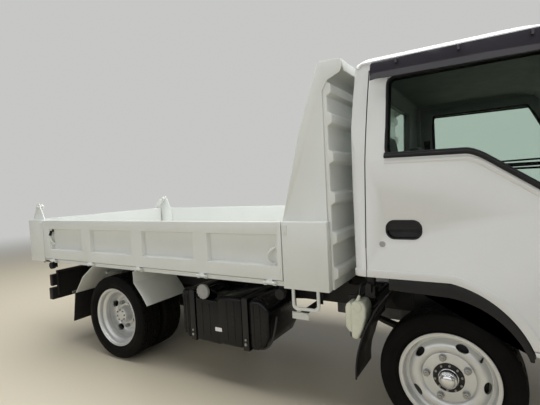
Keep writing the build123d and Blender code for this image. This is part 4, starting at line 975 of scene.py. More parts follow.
# Side gates: locking levers in the end recesses and pins through the hinges
gates = {
    "hingesX": (-1.94, -1.387, -0.795, -0.157, 0.381), "hingeY": -0.85, "hingeZ": 0.768,
    "frontLever": [(0.432, -0.818, 0.985), (0.408, -0.838, 0.974), (0.378, -0.842, 0.945),
                   (0.37, -0.842, 0.915), (0.384, -0.838, 0.888), (0.408, -0.822, 0.876)],
    "rearLever": [(-1.972, -0.82, 1.052), (-1.976, -0.838, 1.03), (-1.98, -0.84, 0.985),
                  (-1.97, -0.838, 0.95), (-1.955, -0.824, 0.922)],
    "leverPlates": [((0.398, -0.826, 0.866), (0.428, -0.808, 0.888), 0.003),
                    ((0.42, -0.83, 0.965), (0.441, -0.808, 1), 0.003),
                    ((-1.978, -0.828, 0.908), (-1.944, -0.808, 0.93), 0.003)],
    "leverPins": [((0.413, -0.834, 0.877), (0.413, -0.808, 0.877), 0.008, 16, 0.001),
                  ((-1.961, -0.834, 0.918), (-1.961, -0.808, 0.918), 0.007, 16, 0.001)],
    "grip": ((-1.9715, -0.83, 1.04), (-1.976, -0.842, 0.996), 0.0115, 12, 0.002),
    "gripRoot": ((-1.979, -0.826, 1.03), (-1.96, -0.808, 1.056), 0.003),
    "knuckles": (-0.044, 0.021), "knuckleWidth": 0.023,
    "latchesX": (0.5, -2.108),
    "handLever": [(-2.149, -0.815, 0.745), (-2.12, -0.825, 0.752), (-2.05, -0.832, 0.757),
                  (-1.96, -0.83, 0.752)],
    "handGrip": ((-2.152, -0.813, 0.744), (-2.118, -0.826, 0.752), 0.0125, 12, 0.003),
}


def makeGateFittings():
    levers = [tube(gates["frontLever"], 0.0085), tube(gates["rearLever"], 0.008)]
    levers += blocks(gates["leverPlates"]) + rods(gates["leverPins"])
    dressPair(joinAll(levers, "gateLevers_right"), "side_gate_{}", "bed_white")
    grips = [rod(*gates["grip"]), block(*gates["gripRoot"])]
    dressPair(joinAll(grips, "gateLeverGrips_right"), "side_gate_{}", "rubber_black")
    pins, y, z = [], gates["hingeY"], gates["hingeZ"]
    for x in gates["hingesX"]:
        pins.append(rod((x - 0.046, y, z), (x + 0.046, y, z), 0.0042, 12, 0.0008))
        pins.append(rod((x + 0.0465, y, z), (x + 0.05, y, z), 0.007, 12, 0.001))
        for start in gates["knuckles"]:
            low = x + start
            pins.append(block((low, -0.846, 0.75), (low + gates["knuckleWidth"], -0.822, 0.756)))
    dressPair(joinAll(pins, "gateHingePins_right"), "bed", "bed_white")
    # Latch plates on the posts, and the hand lever under the rear corner
    latches = [block((x - 0.016, -0.8485, 1.06), (x + 0.016, -0.843, 1.118)) for x in gates["latchesX"]]
    latches += [rod((x, -0.843, 1.074), (x, -0.852, 1.074), 0.006, 12, 0.001) for x in gates["latchesX"]]
    dressPair(joinAll(latches, "gateLatchPlates_right"), "bed", "bed_white")
    hand = [tube(gates["handLever"], 0.008), rod(*gates["handGrip"])]
    dressPair(joinAll(hand, "tailLockLever_right"), "bed", "chassis_black")


makeGateFittings()
print("gate fittings dressed")

# Doors: rubber round the window, belt moulding, lock, drip rail and the smoked visor
door = {
    "window": [(1.1, 1.47), (1.106, 1.872), (1.78, 1.872), (2.05, 1.33), (2.05, 1.215), (1.86, 1.2),
               (1.52, 1.44), (1.48, 1.462)],
    "belt": [(1.092, 1.466), (1.474, 1.458), (1.524, 1.434), (1.862, 1.193), (2.052, 1.207)],
    "lockPlace": (1.068, -0.845, 1.026),
    "lock": [(-4, 0), (-4, 15.5), (1, 15.5), (2.8, 14), (3, 10.5), (1.2, 9.5), (1.2, 4), (0.4, 3), (0.4, 0)],
    "trimTop": 1.5,  # above it the node's trim is the frame's, which the visor covers
    "bowlEdge": 0.0015,
    "visor": [(1.028, 1.86), (1.058, 1.864), (1.11, 1.862), (1.78, 1.856), (1.822, 1.856), (1.835, 1.9),
              (1.8, 1.958), (1.036, 1.958), (1.028, 1.945)],
    "visorTop": 1.955, "visorDeep": 0.1, "visorFlare": 0.024, "visorBow": 0.008,
    "clipsX": (1.16, 1.44, 1.72),
    "flapLip": [(1.104, -0.8405, 1.105), (1.175, -0.842, 1.107), (1.246, -0.8405, 1.105)],
    "rail": [(0.945, 1.95), (0.965, 1.972), (1.78, 1.972), (1.845, 1.945), (1.985, 1.7), (2.07, 1.5)],
    # Distance out of the side, radius, sides, lift
    "flare": (-0.016, 0.0215, 24, -0.026),
    "strips": [(0.001, 0.0105, 12, 0.003), (-0.003, 0.0085, 12, 0.014)],
}


def sideTube(points, out, radius, sides=8, lift=0.0, closed=False):
    # Bead along (x, z) points of the cab's side
    return tube([(x, -(cabSide(z) + out), z + lift) for x, z in points], radius, sides, closed)


def makeDoors():
    window = rounded(door["window"], 0.04, 5)
    seal = [sideTube(window, -0.003, 0.008, closed=True), sideTube(window, -0.04, 0.012, closed=True)]
    dressPair(joinAll(seal, "windowSeal_right"), "door_{}", "rubber_black")
    belt = rounded(door["belt"], 0.05, 5, closed=False)
    dressPair(named(sideTube(belt, *door["flare"]), "beltFlare_right"), "door_{}", "cab_white")
    strips = [sideTube(belt, *size) for size in door["strips"]]
    dressPair(joinAll(strips, "beltStrip_right"), "door_{}", "rubber_black")
    lock = turned("doorLock_right", door["lock"], door["lockPlace"], steps=28)
    dressPair(lock, "door_{}", "bright_metal", paint="zinc_steel")
    # The handle's bowl and flap stay black
    bowl = nodeCopy("door_trim_right", "handleBowl_right", door["bowlEdge"])
    mesh = bmesh.new()
    mesh.from_mesh(bowl.data)
    upper = [vertex for vertex in mesh.verts if vertex.co.z > door["trimTop"]]
    bmesh.ops.delete(mesh, geom=upper, context="VERTS")
    mesh.to_mesh(bowl.data)
    mesh.free()
    dressPair(bowl, "door_{}", "black_plastic", "door_trim_{}")
    dressPair(named(tube(door["flapLip"], 0.004), "handleFlapLip_right"), "door_{}", "black_plastic")
    # The smoked visor hangs from the roof edge, flared and bowed out towards its foot
    visor = plate("windowVisor_right", door["visor"], -0.802, -0.795, 0.0025, 2, 30)
    for vertex in visor.data.vertices:
        share = min(1, max(0, (door["visorTop"] - vertex.co.z) / door["visorDeep"]))
        vertex.co.y -= door["visorFlare"] * share + door["visorBow"] * math.sin(math.pi * share)
    clips = [block((x - 0.006, -0.826, 1.925), (x + 0.006, -0.8, 1.948)) for x in door["clipsX"]]
    for piece in (visor, joinAll(clips, "visorClips_right")):
        dressPair(piece, "door_{}", "black_plastic", paint="smoke_plastic")
    # Drip rail along the roof and down the front pillar
    rail = sideTube(rounded(door["rail"], 0.05, 5, closed=False), -0.002, 0.0105, 12)
    dressPair(named(rail, "dripRail_right"), "cab", "cab_white")


makeDoors()
print("doors dressed")

# Wheel arch liners: bent sheet with a rolled front edge, carried on inwards to the frame
liner = {
    "edge": [(1.076, 0.755), (1.008, 0.668), (0.971, 0.594), (0.942, 0.542), (0.918, 0.478), (0.894, 0.4),
             (0.882, 0.322), (0.88, 0.252)],
    "thick": 0.006, "near": -0.788, "far": -0.455, "beadRadius": 0.0048, "secondRadius": 0.0035,
    "footBelow": 0.4, "footFar": -0.5,
    "bolts": ((0.985, 0.632), (0.926, 0.52), (0.892, 0.41)),
}


def makeLiners():
    near = liner["near"]
    edge = rounded(liner["edge"], 0.05, 3, closed=False)
    outline = edge + [(x - liner["thick"], z) for x, z in reversed(edge)]
    outer = plate("wheelLiner_right", outline, near, liner["far"], 0.001, 1, 60)
    for vertex in outer.data.vertices:
        # The flap at the foot is cut off short inboard
        if vertex.co.z < liner["footBelow"]:
            vertex.co.y = min(vertex.co.y, liner["footFar"])
    pieces = [outer, tube([(x, near, z) for x, z in edge], liner["beadRadius"]),
              tube([(x - 0.001, near + 0.03, z) for x, z in edge[:12]], liner["secondRadius"])]
    for x, z in liner["bolts"]:
        pieces.append(rod((x - 0.004, -0.74, z), (x + 0.006, -0.74, z + 0.004), 0.011, 12, 0.002))
    pieces.append(block((0.905, near + 0.09, 0.54), (0.955, -0.412, 0.568), 0.003))
    dressPair(joinAll(pieces, "wheelLiner_right"), "chassis", nodeSlot["wheel_liners"], "wheel_liners",
              paint="black_plastic")


makeLiners()
print("liners dressed")

# Cab front: depth and slope of the skin are read off the CAD shell and its glass
skinTrees = [BVHTree.FromPolygons([vertex.co for vertex in mesh.vertices],
                                  [list(face.vertices) for face in mesh.polygons])
             for mesh in (nodes["cab_shell"].data, nodes["cab_glass"].data)]
front = {
    "ahead": 3, "noHit": 2.3, "limit": 2.344,
    "screen": [(-0.7, 1.375), (-0.64, 1.88), (0.64, 1.88), (0.7, 1.375)],
    "screenMiddle": 1.6, "sealWider": 1.012, "sealHigher": 0.006, "bladeSteps": 6,
    "lamp": ((-0.735, 0.626), (-0.505, 0.774)), "lampFrame": ((-0.742, 0.619), (-0.498, 0.781)),
    "bowlPlace": (-0.578, 0.7),
    "bowl": [(-4, 62), (6.5, 62), (7.5, 60), (4.5, 52), (3.5, 36), (3.5, 26), (7, 24), (7.8, 14), (8, 0)],
    "ribStart": -0.722, "ribStep": 0.012, "ribs": 7, "ribZ": (0.636, 0.67, 0.7, 0.73, 0.764),
    "turnLamp": ((-0.735, 0.795), (-0.505, 0.85)), "flute": 0.0012, "fluteWidth": 0.016,
    "plate": ((-0.165, 0.59), (0.165, 0.755)), "plateScrewsY": (-0.105, 0.105),
    "wipers": [((-0.36, 1.335), (0.1, 1.42), (-0.62, 1.44)), ((0.3, 1.335), (0.62, 1.44), (-0.02, 1.4))],
    "gripZ": 1.432,
    "folds": [(0.775, -0.48, 0.06, 17, 0.001, 0.005),  # height, start, step, points, lift, radius
              (1.15, -0.66, 0.066, 21, 0.0005, 0.006)],
    "mirrorGlass": ((2.1465, -1.048, 1.262), (2.1505, -0.912, 1.568), 0.0018, 3),
    "clampsZ": (1.29, 1.54), "mirrorLipsZ": (1.255, 1.569),
}


def frontX(y, z, fallback=front["noHit"]):
    hits = [tree.ray_cast(Vector((front["ahead"], y, z)), Vector((-1, 0, 0)))[0] for tree in skinTrees]
    return max((place.x for place in hits if place), default=fallback)


def onFront(points, lift):
    return [(frontX(y, z) + lift, y, z) for y, z in points]


def frontPatch(name, corners, lift, thick, cuts, bevel=0.0012):
    # Panel between two (y, z) corners that follows the cab's front
    low, high = corners
    clearPick()
    bpy.ops.mesh.primitive_grid_add(x_subdivisions=cuts[0], y_subdivisions=cuts[1], size=2)
    piece = bpy.context.object
    for vertex in piece.data.vertices:
        y = low[0] + (vertex.co.x + 1) / 2 * (high[0] - low[0])
        z = low[1] + (vertex.co.y + 1) / 2 * (high[1] - low[1])
        vertex.co = (min(frontX(y, z) + lift, front["limit"]), y, z)
    editAll()
    bpy.ops.mesh.extrude_region_move(TRANSFORM_OT_translate={"value": (-thick, 0, 0)})
    endEdit()
    easeEdges(piece, bevel)
    smooth(piece, 40)
    return named(piece, name)


def makeWindscreen():
    corners = rounded(front["screen"], 0.07, 6)
    outer = [(y * front["sealWider"], z + math.copysign(front["sealHigher"], z - front["screenMiddle"]))
             for y, z in corners]
    dress(named(tube(onFront(outer, 0.0015), 0.0115, closed=True), "windscreenSeal"), "cab", "rubber_black")
    parts = []
    for pivot, start, end in front["wipers"]:
        foot = Vector((frontX(*pivot) + 0.012, *pivot))
        middle = (start[0] + end[0]) / 2
        grip = Vector((frontX(middle, front["gripZ"]) + 0.02, middle, front["gripZ"]))
        parts.append(rod(foot, grip, 0.006, 10, 0.001, 0.004))
        parts.append(rod(foot - Vector((0.02, 0, 0)), foot + Vector((0.006, 0, 0)), 0.014, 20, 0.003))
        blade = []
        for step in range(front["bladeSteps"] + 1):
            y, z = [a + (b - a) * step / front["bladeSteps"] for a, b in zip(start, end)]
            blade.append((frontX(y, z, 2.2) + 0.01, y, z))
        parts.append(tube(blade, 0.0048))
        parts.append(tube([(x + 0.006, y, z) for x, y, z in blade[1:-1]], 0.0035))
    dress(joinAll(parts, "windscreenWipers"), "cab", "black_plastic")


def makeHeadlamps():
    # Silvered reflector with a round bowl and side ribs, a dark frame and a clear cover, amber lamp above
    y, z = front["bowlPlace"]
    step = 0.02
    facing = (1, (frontX(y - step, z) - frontX(y + step, z)) / (2 * step),
              (frontX(y, z - step) - frontX(y, z + step)) / (2 * step))
    parts = [frontPatch("headlampReflector_right", front["lamp"], 0.0035, 0.008, (14, 10)),
             turned("lampBowl", front["bowl"], (frontX(y, z), y, z), facing, 40)]
    for index in range(front["ribs"]):
        place = front["ribStart"] + front["ribStep"] * index
        parts.append(tube(onFront([(place, height) for height in front["ribZ"]], 0.0042), 0.0022, 6))
    reflector = joinAll(parts, "headlampReflector_right")
    dressPair(reflector, "cab", "bright_metal", paint="mirror_silver")
    (left, low), (right, high) = front["lampFrame"]
    frame = rounded([(left, low), (left, high), (right, high), (right, low)], 0.02)
    rim = tube(onFront(frame, 0.001), 0.007, closed=True)
    dressPair(named(rim, "headlampRim_right"), "cab", "black_plastic")
    amber = frontPatch("turnLamp_right", front["turnLamp"], 0.008, 0.014, (16, 4), 0.004)
    for vertex in amber.data.vertices:
        vertex.co.x += front["flute"] * math.cos(vertex.co.y * 2 * math.pi / front["fluteWidth"])
    dressPair(amber, "cab", "lamp_clear", paint="lamp_amber")
    cover = nodeCopy("headlamps", "headlampCovers", 0.002)
    cover.data.transform(Matrix.Translation((0.004, 0, 0)))
    dress(cover, "cab", "lamp_clear", "headlamps")


def makeFrontPlate():
    (left, low), (right, high) = front["plate"]
    x = frontX(0, (low + high) / 2)
    holder = block((x - 0.004, left - 0.008, low - 0.008), (x + 0.006, right + 0.008, high + 0.008), 0.004)
    dress(named(holder, "plateHolderFront"), "cab", "black_plastic")
    parts = [block((x + 0.006, left, low), (x + 0.0075, right, high), 0.0006)]
    for z in (low + 0.005, high - 0.005):
        parts.append(block((x + 0.0065, left + 0.004, z - 0.0015), (x + 0.0085, right - 0.004, z + 0.0015),
                           0.0007))
    for y in front["plateScrewsY"]:
        parts.append(rod((x + 0.006, y, high - 0.018), (x + 0.0105, y, high - 0.018), 0.007, 12, 0.001))
    dress(joinAll(parts, "numberPlateFront"), "cab", "cab_white", paint="label_white")


def makeFrontTrim():
    # Fold lines across the face, then the mirrors' glass and clamps
    beads = []
    for z, start, step, count, lift, radius in front["folds"]:
        beads.append(tube(onFront([(start + step * index, z) for index in range(count)], lift), radius))
    dress(joinAll(beads, "frontCreases"), "cab", "cab_white")
    glass = named(block(*front["mirrorGlass"]), "mirrorGlass_right")
    dressPair(glass, "cab", "bright_metal", paint="mirror_silver")
    clamps = [rod((2.17, -0.915, z), (2.17, -0.898, z), 0.016, 20, 0.004) for z in front["clampsZ"]]
    clamps += [block((2.148, -1.052, z), (2.152, -0.908, z + 0.006)) for z in front["mirrorLipsZ"]]
    dressPair(joinAll(clamps, "mirrorClamps_right"), "cab", "black_plastic")


makeWindscreen()
makeHeadlamps()
makeFrontPlate()
makeFrontTrim()
print("cab front dressed")

# Rear end: lamp housings with three lenses each, reflectors and a blank plate
rear = {
    "lenses": [("red", -0.783, -0.69), ("amber", -0.686, -0.61), ("white", -0.606, -0.524)],
    "low": 0.506, "high": 0.604, "x": -2.14, "ribStep": 0.009,
    "housing": [((-2.136, -0.786, 0.5), (-2.096, -0.52, 0.61), 0.006, 3),
                ((-2.11, -0.56, 0.505), (-2.096, -0.398, 0.545))],
    "carrier": [(-2.0985, 0.395), (-2.0935, 0.395), (-2.0935, 0.622), (-2.065, 0.64), (-2.065, 0.645),
                (-2.0985, 0.645)],
    "carrierEnds": [((-2.096, -0.743, 0.41), (-2.07, -0.737, 0.63)),
                    ((-2.096, -0.404, 0.41), (-2, -0.397, 0.64))],
    "screwsY": (-0.7, -0.57, -0.44),
    "reflex": [(-4, 0), (-4, 30), (3, 30), (5, 27), (4, 24), (4, 0)], "reflexY": (-0.7, -0.43),
    "holder": ((-2.157, -0.18, 0.375), (-2.15, 0.18, 0.525), 0.003), "pinsY": (-0.15, 0.15),
    "blank": ((-2.1585, -0.165, 0.385), (-2.1568, 0.165, 0.505), 0.0006), "rimsZ": (0.39, 0.5),
    "flapStrip": ((-1.7215, -0.822, 0.48), (-1.715, -0.41, 0.5)),
    "flapBolts": 6, "flapStart": -0.8, "flapStep": 0.075, "shieldHalf": 0.635, "shieldAhead": -0.95,
}


def makeTailLamps():
    housing = joinAll(blocks(rear["housing"]), "tailLampHousing_right")
    dressPair(housing, "chassis", nodeSlot["tail_lamps"], "tail_lamps", paint="black_plastic")
    # Folded plates that carry the lamps, from the frame out to the corners
    parts = [plate("lampCarrier", rear["carrier"], -0.745, -0.4, 0.0015)] + blocks(rear["carrierEnds"])
    parts += [rod((-2.1, y, 0.628), (-2.09, y, 0.628), 0.009, 6, 0.001) for y in rear["screwsY"]]
    dressPair(joinAll(parts, "lampCarrier_right"), "chassis", "chassis_black")
    x, low, high, gap = rear["x"], rear["low"], rear["high"], rear["ribStep"]
    for color, start, end in rear["lenses"]:
        parts = [block((x - 0.004, start, low), (-2.134, end, high), 0.004, 3),
                 rod((x - 0.007, start + 0.006, high - 0.01), (x - 0.003, start + 0.006, high - 0.01),
                     0.003, 10)]
        for step in range(int((end - start - 0.012) / gap) + 1):
            y = start + 0.008 + step * gap
            parts.append(block((x - 0.0052, y - 0.0016, low + 0.006), (x - 0.003, y + 0.0016, high - 0.006),
                               0.0008))
        lens = joinAll(parts, "tailLens" + color + "_right")
        dressPair(lens, "chassis", "lamp_red" if color == "red" else "lamp_clear", paint="lamp_" + color)
    reflectors = [turned("rearReflex", rear["reflex"], (-2.154, y, 0.452), (-1, 0, 0), 32)
                  for y in rear["reflexY"]]
    dressPair(joinAll(reflectors, "rearReflectors_right"), "chassis", "lamp_red")


def makeRearPlate():
    holder = [block(*rear["holder"])]
    holder += [rod((-2.16, y, 0.512), (-2.13, y, 0.512), 0.012, 16, 0.003) for y in rear["pinsY"]]
    dress(joinAll(holder, "plateHolderRear"), "chassis", "chassis_black")
    blank = [block(*rear["blank"])]
    blank += [block((-2.1595, -0.16, z - 0.0015), (-2.1575, 0.16, z + 0.0015), 0.0007) for z in rear["rimsZ"]]
    dress(joinAll(blank, "numberPlateRear"), "chassis", "cab_white", paint="label_white")


def makeGuards():
    # Flap stiffeners and their screws
    strip = [block(*rear["flapStrip"])]
    for step in range(rear["flapBolts"]):
        y = rear["flapStart"] + rear["flapStep"] * step
        strip.append(rod((-1.723, y, 0.49), (-1.714, y, 0.49), 0.008, 6, 0.001))
    dressPair(joinAll(strip, "mudFlapStrip_right"), "chassis", "chassis_black", paint="zinc_steel")
    # Rear mudguards: the inner half of the front plates takes the near-black rubber finish, darker than the
    # white outer half
    piece = nodeCopy("rear_mudguards", "rearGuards", 0.001)
    half = rear["shieldHalf"]
    mesh = bmesh.new()
    mesh.from_mesh(piece.data)
    for y in (-half, half):
        everything = mesh.verts[:] + mesh.edges[:] + mesh.faces[:]
        bmesh.ops.bisect_plane(mesh, geom=everything, plane_co=(0, y, 0), plane_no=(0, 1, 0))
    for face in mesh.faces:
        middle = face.calc_center_median()
        face.material_index = 1 if abs(middle.y) < half and middle.x > rear["shieldAhead"] else 0
    mesh.to_mesh(piece.data)
    mesh.free()
    dress(piece, "chassis", "bed_white", "rear_mudguards")
    piece.data.materials.append(finishes["rubber_black"])


makeTailLamps()
makeRearPlate()
makeGuards()
print("rear end dressed")

# Running gear: brake drums, splash shields, a step plate and the clamps of the leaf springs
gear = {
    "drumPlace": (1.345, -0.648, 0.34),
    "fin": ((1.343, -0.7, 0.5165), (1.347, -0.61, 0.5205), 0.001), "fins": 24,
    "drum": [(-50, 0), (-50, 120), (-45, 172), (-20, 178), (52, 178), (56, 170), (58, 120), (58, 0)],
    "shield": [(1, 0.61), (1.03, 0.56), (1.66, 0.56), (1.7, 0.6), (1.7, 0.7), (1, 0.7)],
    "shieldRibsX": (1.12, 1.28, 1.44, 1.6),
    "stepBack": [((0.449, -0.705, 0.512), (0.563, -0.7, 0.558), 0.002, 3),
                 ((0.455, -0.712, 0.546), (0.557, -0.7, 0.558), 0.003, 3)],
    "stepArm": [((0.486, -0.701, 0.527), (0.524, -0.398, 0.547), 0.003),
                ((0.48, -0.404, 0.52), (0.53, -0.397, 0.64), 0.003)],
    "springs": [(1.345, 0.5), (-1.135, 0.54)],  # axle, half length
    "springZ": 0.414, "springY": (-0.345, -0.27),
}


def makeSpringClamps():
    near, far = gear["springY"]
    z = gear["springZ"]
    clamps = []
    for x, half in gear["springs"]:
        for place in (x - 0.045, x + 0.045):
            bolt = [(near - 0.006, -0.06), (near - 0.006, 0.03), (near - 0.002, 0.056),
                    ((near + far) / 2, 0.06), (far + 0.002, 0.056), (far + 0.006, 0.03), (far + 0.006, -0.06)]
            clamps.append(tube([(place, y, z + rise) for y, rise in bolt], 0.0065))
        clamps.append(block((x - 0.075, near - 0.014, z - 0.07), (x + 0.075, far + 0.014, z - 0.056), 0.003))
        for share in (-0.55, 0.55):
            place, rise = x + share * half, z + 0.072 * share * share
            clamps.append(block((place - 0.014, near - 0.003, rise - 0.02),
                                (place + 0.014, far + 0.003, rise + 0.046), 0.003))
    dressPair(joinAll(clamps, "springClamps_right"), "chassis", "chassis_black", paint="zinc_steel")


def makeRunningGear():
    drum = [turned("brakeDrum", gear["drum"], gear["drumPlace"], steps=48),
            ringOf(block(*gear["fin"]), gear["drumPlace"], gear["fins"])]
    # The drums take the near-black rubber finish: dark like real drums, and made darker still as painted
    # shade seen through the wheels' hand holes
    dressPair(joinAll(drum, "brakeDrum_right"), "knuckle_{}", "rubber_black")
    shield = [plate("innerWing_right", gear["shield"], -0.418, -0.412, 0.0015)]
    shield += [block((x - 0.01, -0.421, 0.575), (x + 0.01, -0.416, 0.69), 0.003) for x in gear["shieldRibsX"]]
    dressPair(joinAll(shield, "innerWing_right"), "chassis", "black_plastic")
    dress(joinAll(blocks(gear["stepBack"]), "stepBackPlate"), "chassis", "bed_white")
    dress(joinAll(blocks(gear["stepArm"]), "stepPlateArm"), "chassis", "chassis_black")
    makeSpringClamps()


makeRunningGear()
print("running gear dressed")

# Seats: padded forms with sewn channels and piping
seat = {
    # Label, y, half width
    "rows": [("driver", -0.475, 0.238), ("middle", 0, 0.17), ("passenger", 0.475, 0.238)],
    # Axis across the channel, its place, width and depth
    "channels": [("y", -0.45, 0.05, 0.007), ("y", 0.45, 0.05, 0.007), ("x", -0.35, 0.06, 0.005),
                 ("x", 0.1, 0.06, 0.005), ("x", 0.5, 0.06, 0.005)],
    "cuts": 27, "waist": 0.03, "squareness": 7, "fill": 0.65, "headFill": 0.8,
    "pipingSteps": 48, "pipingHeight": 0.62, "pipingRadius": 0.0038, "pipingLift": 0.0015,
    "slideLever": ((1.19, -0.728, 1.055), (1.33, -0.728, 1.062), 0.008, 12, 0.003),
    "beltSide": 0.735, "strap": [(1.052, 1.062), (1.098, 1.062), (1.078, 1.64), (1.032, 1.64)],
}


def padSurface(point, half, crown):
    # From a cube's surface to a crowned pad with rounded edges and sides drawn in between the corners
    power, waist = seat["squareness"], seat["waist"]
    p = point / sum(abs(value) ** power for value in point) ** (1 / power)
    place = Vector((p.x * half[0] * (1 - waist * (1 - p.y * p.y)),
                    p.y * half[1] * (1 - waist * (1 - p.x * p.x)), p.z * half[2]))
    if p.z > 0:
        place.z += crown * (1 - p.x * p.x) * (1 - p.y * p.y) * p.z
    return place


def pad(name, half, crown, place, tilt, channels):
    clearPick()
    bpy.ops.mesh.primitive_cube_add(size=2)
    piece = bpy.context.object
    editAll()
    bpy.ops.mesh.subdivide(number_cuts=seat["cuts"])
    bpy.ops.object.mode_set(mode="OBJECT")
    for vertex in piece.data.vertices:
        start = vertex.co.copy()
        vertex.co = padSurface(start, half, crown)
        if start.z > 0.5:
            for axis, at, width, depth in channels:
                vertex.co.z -= depth * math.exp(-((getattr(start, axis) - at) / width) ** 2)
    loop = []
    for step in range(seat["pipingSteps"]):
        angle = 2 * math.pi * step / seat["pipingSteps"]
        reach = max(abs(math.cos(angle)), abs(math.sin(angle)))
        corner = Vector((math.cos(angle) / reach, math.sin(angle) / reach, seat["pipingHeight"]))
        loop.append(padSurface(corner, half, crown) + Vector((0, 0, seat["pipingLift"])))
    piece = joinAll([piece, tube(loop, seat["pipingRadius"], closed=True)], name)
    piece.data.transform(Matrix.Translation(place) @ Matrix.Rotation(math.radians(tilt), 4, "Y"))
    smooth(piece, 60)
    dress(piece, "cab", "seat_fabric", "seats")


def makeSeats():
    channels, fill = seat["channels"], seat["fill"]
    frames = []
    for label, y, half in seat["rows"]:
        outer = label != "middle"
        pad(label + "Cushion", (0.222, half, 0.05), 0.014, (1.348, y, 1.082), -3.2, channels)
        back = (0.195 if outer else 0.185, half - 0.008, 0.046)
        pad(label + "Backrest", back, 0.012, (1.062, y, 1.305), 80, channels)
        if outer:
            pad(label + "Headrest", (0.048, 0.125, 0.036), 0.006, (1.018, y, 1.546), 80, ())
            for bar in (y - 0.06, y + 0.06):
                frames.append(rod((1.04, bar, 1.44), (1.022, bar, 1.53), 0.006, 12))
        frames.append(block((1.06, y - half + 0.02, 1.0005), (1.54, y + half - 0.02, 1.036), 0.01, 3))
        frames.append(block((1.075, y - half + 0.03, 1.03), (1.11, y + half - 0.03, 1.12), 0.008, 3))
    frames.append(rod(*seat["slideLever"]))
    dress(joinAll(frames, "seatFrames"), "cab", "black_plastic")
    belts = []
    for side in (-1, 1):
        y = side * seat["beltSide"]
        belts.append(block((1.06, y - 0.004, 1.06), (1.108, y + 0.004, 1.072)))
        belts.append(plate("beltStrap", seat["strap"], y + side * 0.0035, y + side * 0.002, 0))
        top = y + side * 0.007
        belts.append(block((1.03, top - 0.01, 1.63), (1.082, top + 0.01, 1.668), 0.005, 3))
    dress(joinAll(belts, "seatBelts"), "cab", "black_plastic")


# Steering wheel, dashboard fittings, levers and the cab's mirror
controls = {
    "wheelPlace": Vector((1.79, -0.475, 1.29)), "wheelAxis": Vector((-0.7, 0, 0.714)).normalized(),
    "rimRadius": 200, "rimThick": 13, "rimSides": 12, "spokes": (0, 180, 55, 125),
    "hub": [(-35, 0), (-35, 50), (-10, 72), (10, 74), (22, 62), (28, 40), (30, 0)],
    "column": [(-330, 0), (-330, 52), (-120, 50), (-60, 40), (-45, 30), (-45, 0)],
    "hood": [(2.01, 1.215), (2.018, 1.29), (2.05, 1.325), (2.14, 1.318), (2.18, 1.27), (2.12, 1.23)],
    "ventsY": (-0.735, -0.215, 0.215, 0.735), "slatsZ": (1.174, 1.186, 1.198, 1.21),
    "knobsY": (-0.07, 0, 0.07), "knob": [(0, 0), (0, 16), (10, 15), (14, 12), (14, 0)],
    "dialsY": (-0.535, -0.415), "dial": [(0, 0), (0, 52), (6, 52), (8, 48), (3, 45), (3, 0)],
    "lever": [(1.7, -0.16, 1.001), (1.705, -0.16, 1.06), (1.69, -0.165, 1.14), (1.66, -0.17, 1.205)],
    "gearKnob": [(-20, 0), (-18, 14), (-6, 22), (10, 22), (22, 12), (25, 0)],
    "gaiter": [(0, 62), (12, 50), (18, 54), (32, 36), (38, 40), (56, 18), (60, 10)],
    "handBrake": ((1.64, 0.06, 1.02), (1.5, 0.06, 1.13), 0.01, 16, 0.003),
    "brakeFoot": ((1.6, 0.04, 1.0005), (1.68, 0.08, 1.035), 0.006, 3),
    "mirrorBody": ((2.07, -0.11, 1.8), (2.084, 0.11, 1.858), 0.006, 3),
    "mirrorStem": ((2.08, 0, 1.845), (2.075, 0, 1.905), 0.006, 12),
    "mirrorFace": ((2.0685, -0.104, 1.806), (2.0705, 0.104, 1.852), 0.0008),
    "radio": ((1.99, -0.1, 1.11), (2.012, 0.1, 1.165), 0.005, 3),
}


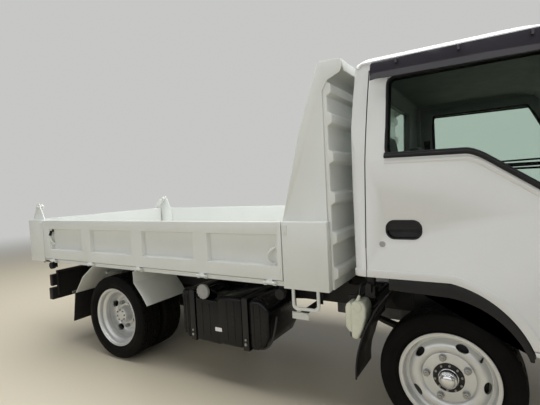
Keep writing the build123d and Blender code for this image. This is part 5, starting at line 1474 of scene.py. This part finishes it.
def makeSteeringWheel():
    place, axis = controls["wheelPlace"], controls["wheelAxis"]
    circle = []
    for step in range(controls["rimSides"] + 1):
        angle = 2 * math.pi * step / controls["rimSides"]
        circle.append((controls["rimThick"] * math.sin(angle),
                       controls["rimRadius"] + controls["rimThick"] * math.cos(angle)))
    parts = [turned("steeringRim", circle, place, axis, 72, 60),
             turned("steeringHub", controls["hub"], place - axis * 0.018, axis, 40, 40)]
    across = Vector((0, 1, 0))
    down = axis.cross(across).normalized()
    if down.z > 0:
        down = -down
    for turn in controls["spokes"]:
        lean = across * math.cos(math.radians(turn)) + down * math.sin(math.radians(turn))
        start = place - axis * 0.014
        parts.append(tube([start + lean * 0.05, start + lean * 0.12, place + lean * 0.194], 0.0125))
    parts.append(turned("steeringColumn", controls["column"], place, axis, 36, 40))
    for side in (-1, 1):
        parts.append(rod(place - axis * 0.095 + across * side * 0.03,
                         place - axis * 0.075 + across * side * 0.165, 0.0065, 12, 0.002))
    dress(joinAll(parts, "steeringWheelDressed"), "cab", "black_plastic", "steering_wheel")


def makeDashboard():
    # Hood over the dials, vents, a blank radio panel and its knobs
    parts = [plate("dialHood", controls["hood"], -0.655, -0.295, 0.018, 4, 30),
             block(*controls["radio"])]
    for y in controls["ventsY"]:
        parts.append(block((1.998, y - 0.05, 1.165), (2.012, y + 0.05, 1.225), 0.006, 3))
        parts += [block((1.9945, y - 0.043, z), (2, y + 0.043, z + 0.004), 0.001) for z in controls["slatsZ"]]
    for y in controls["knobsY"]:
        parts.append(turned("dashKnob", controls["knob"], (1.992, y, 1.085), (-1, 0, 0), 24, 40))
    dress(joinAll(parts, "dashFittings"), "cab", "black_plastic")
    dials = []
    for y in controls["dialsY"]:
        dials.append(turned("dashDial", controls["dial"], (2.012, y, 1.262), (-1, 0, 0.15), 40))
        dials.append(rod((2.008, y, 1.262), (2.007, y + 0.022, 1.288), 0.0016, 8))
    dress(joinAll(dials, "dashDials"), "cab", "grey_plastic", paint="trim_grey")


def makeLevers():
    # Gear lever with its gaiter, hand brake and the cab's mirror
    parts = [tube(controls["lever"], 0.008),
             turned("gearKnob", controls["gearKnob"], (1.655, -0.171, 1.215), (-0.4, 0, 0.9), 28, 60),
             turned("gearGaiter", controls["gaiter"], (1.702, -0.16, 1.0005), (0, 0, 1), 32, 60),
             rod(*controls["handBrake"]), block(*controls["brakeFoot"])]
    dress(joinAll(parts, "floorLevers"), "cab", "black_plastic")
    mirror = [block(*controls["mirrorBody"]), rod(*controls["mirrorStem"])]
    dress(joinAll(mirror, "cabMirrorBody"), "cab", "black_plastic")
    glass = named(block(*controls["mirrorFace"]), "cabMirrorGlass")
    dress(glass, "cab", "bright_metal", paint="mirror_silver")


makeSeats()
makeSteeringWheel()
makeDashboard()
makeLevers()
print("cab interior dressed")


print("scene complete")
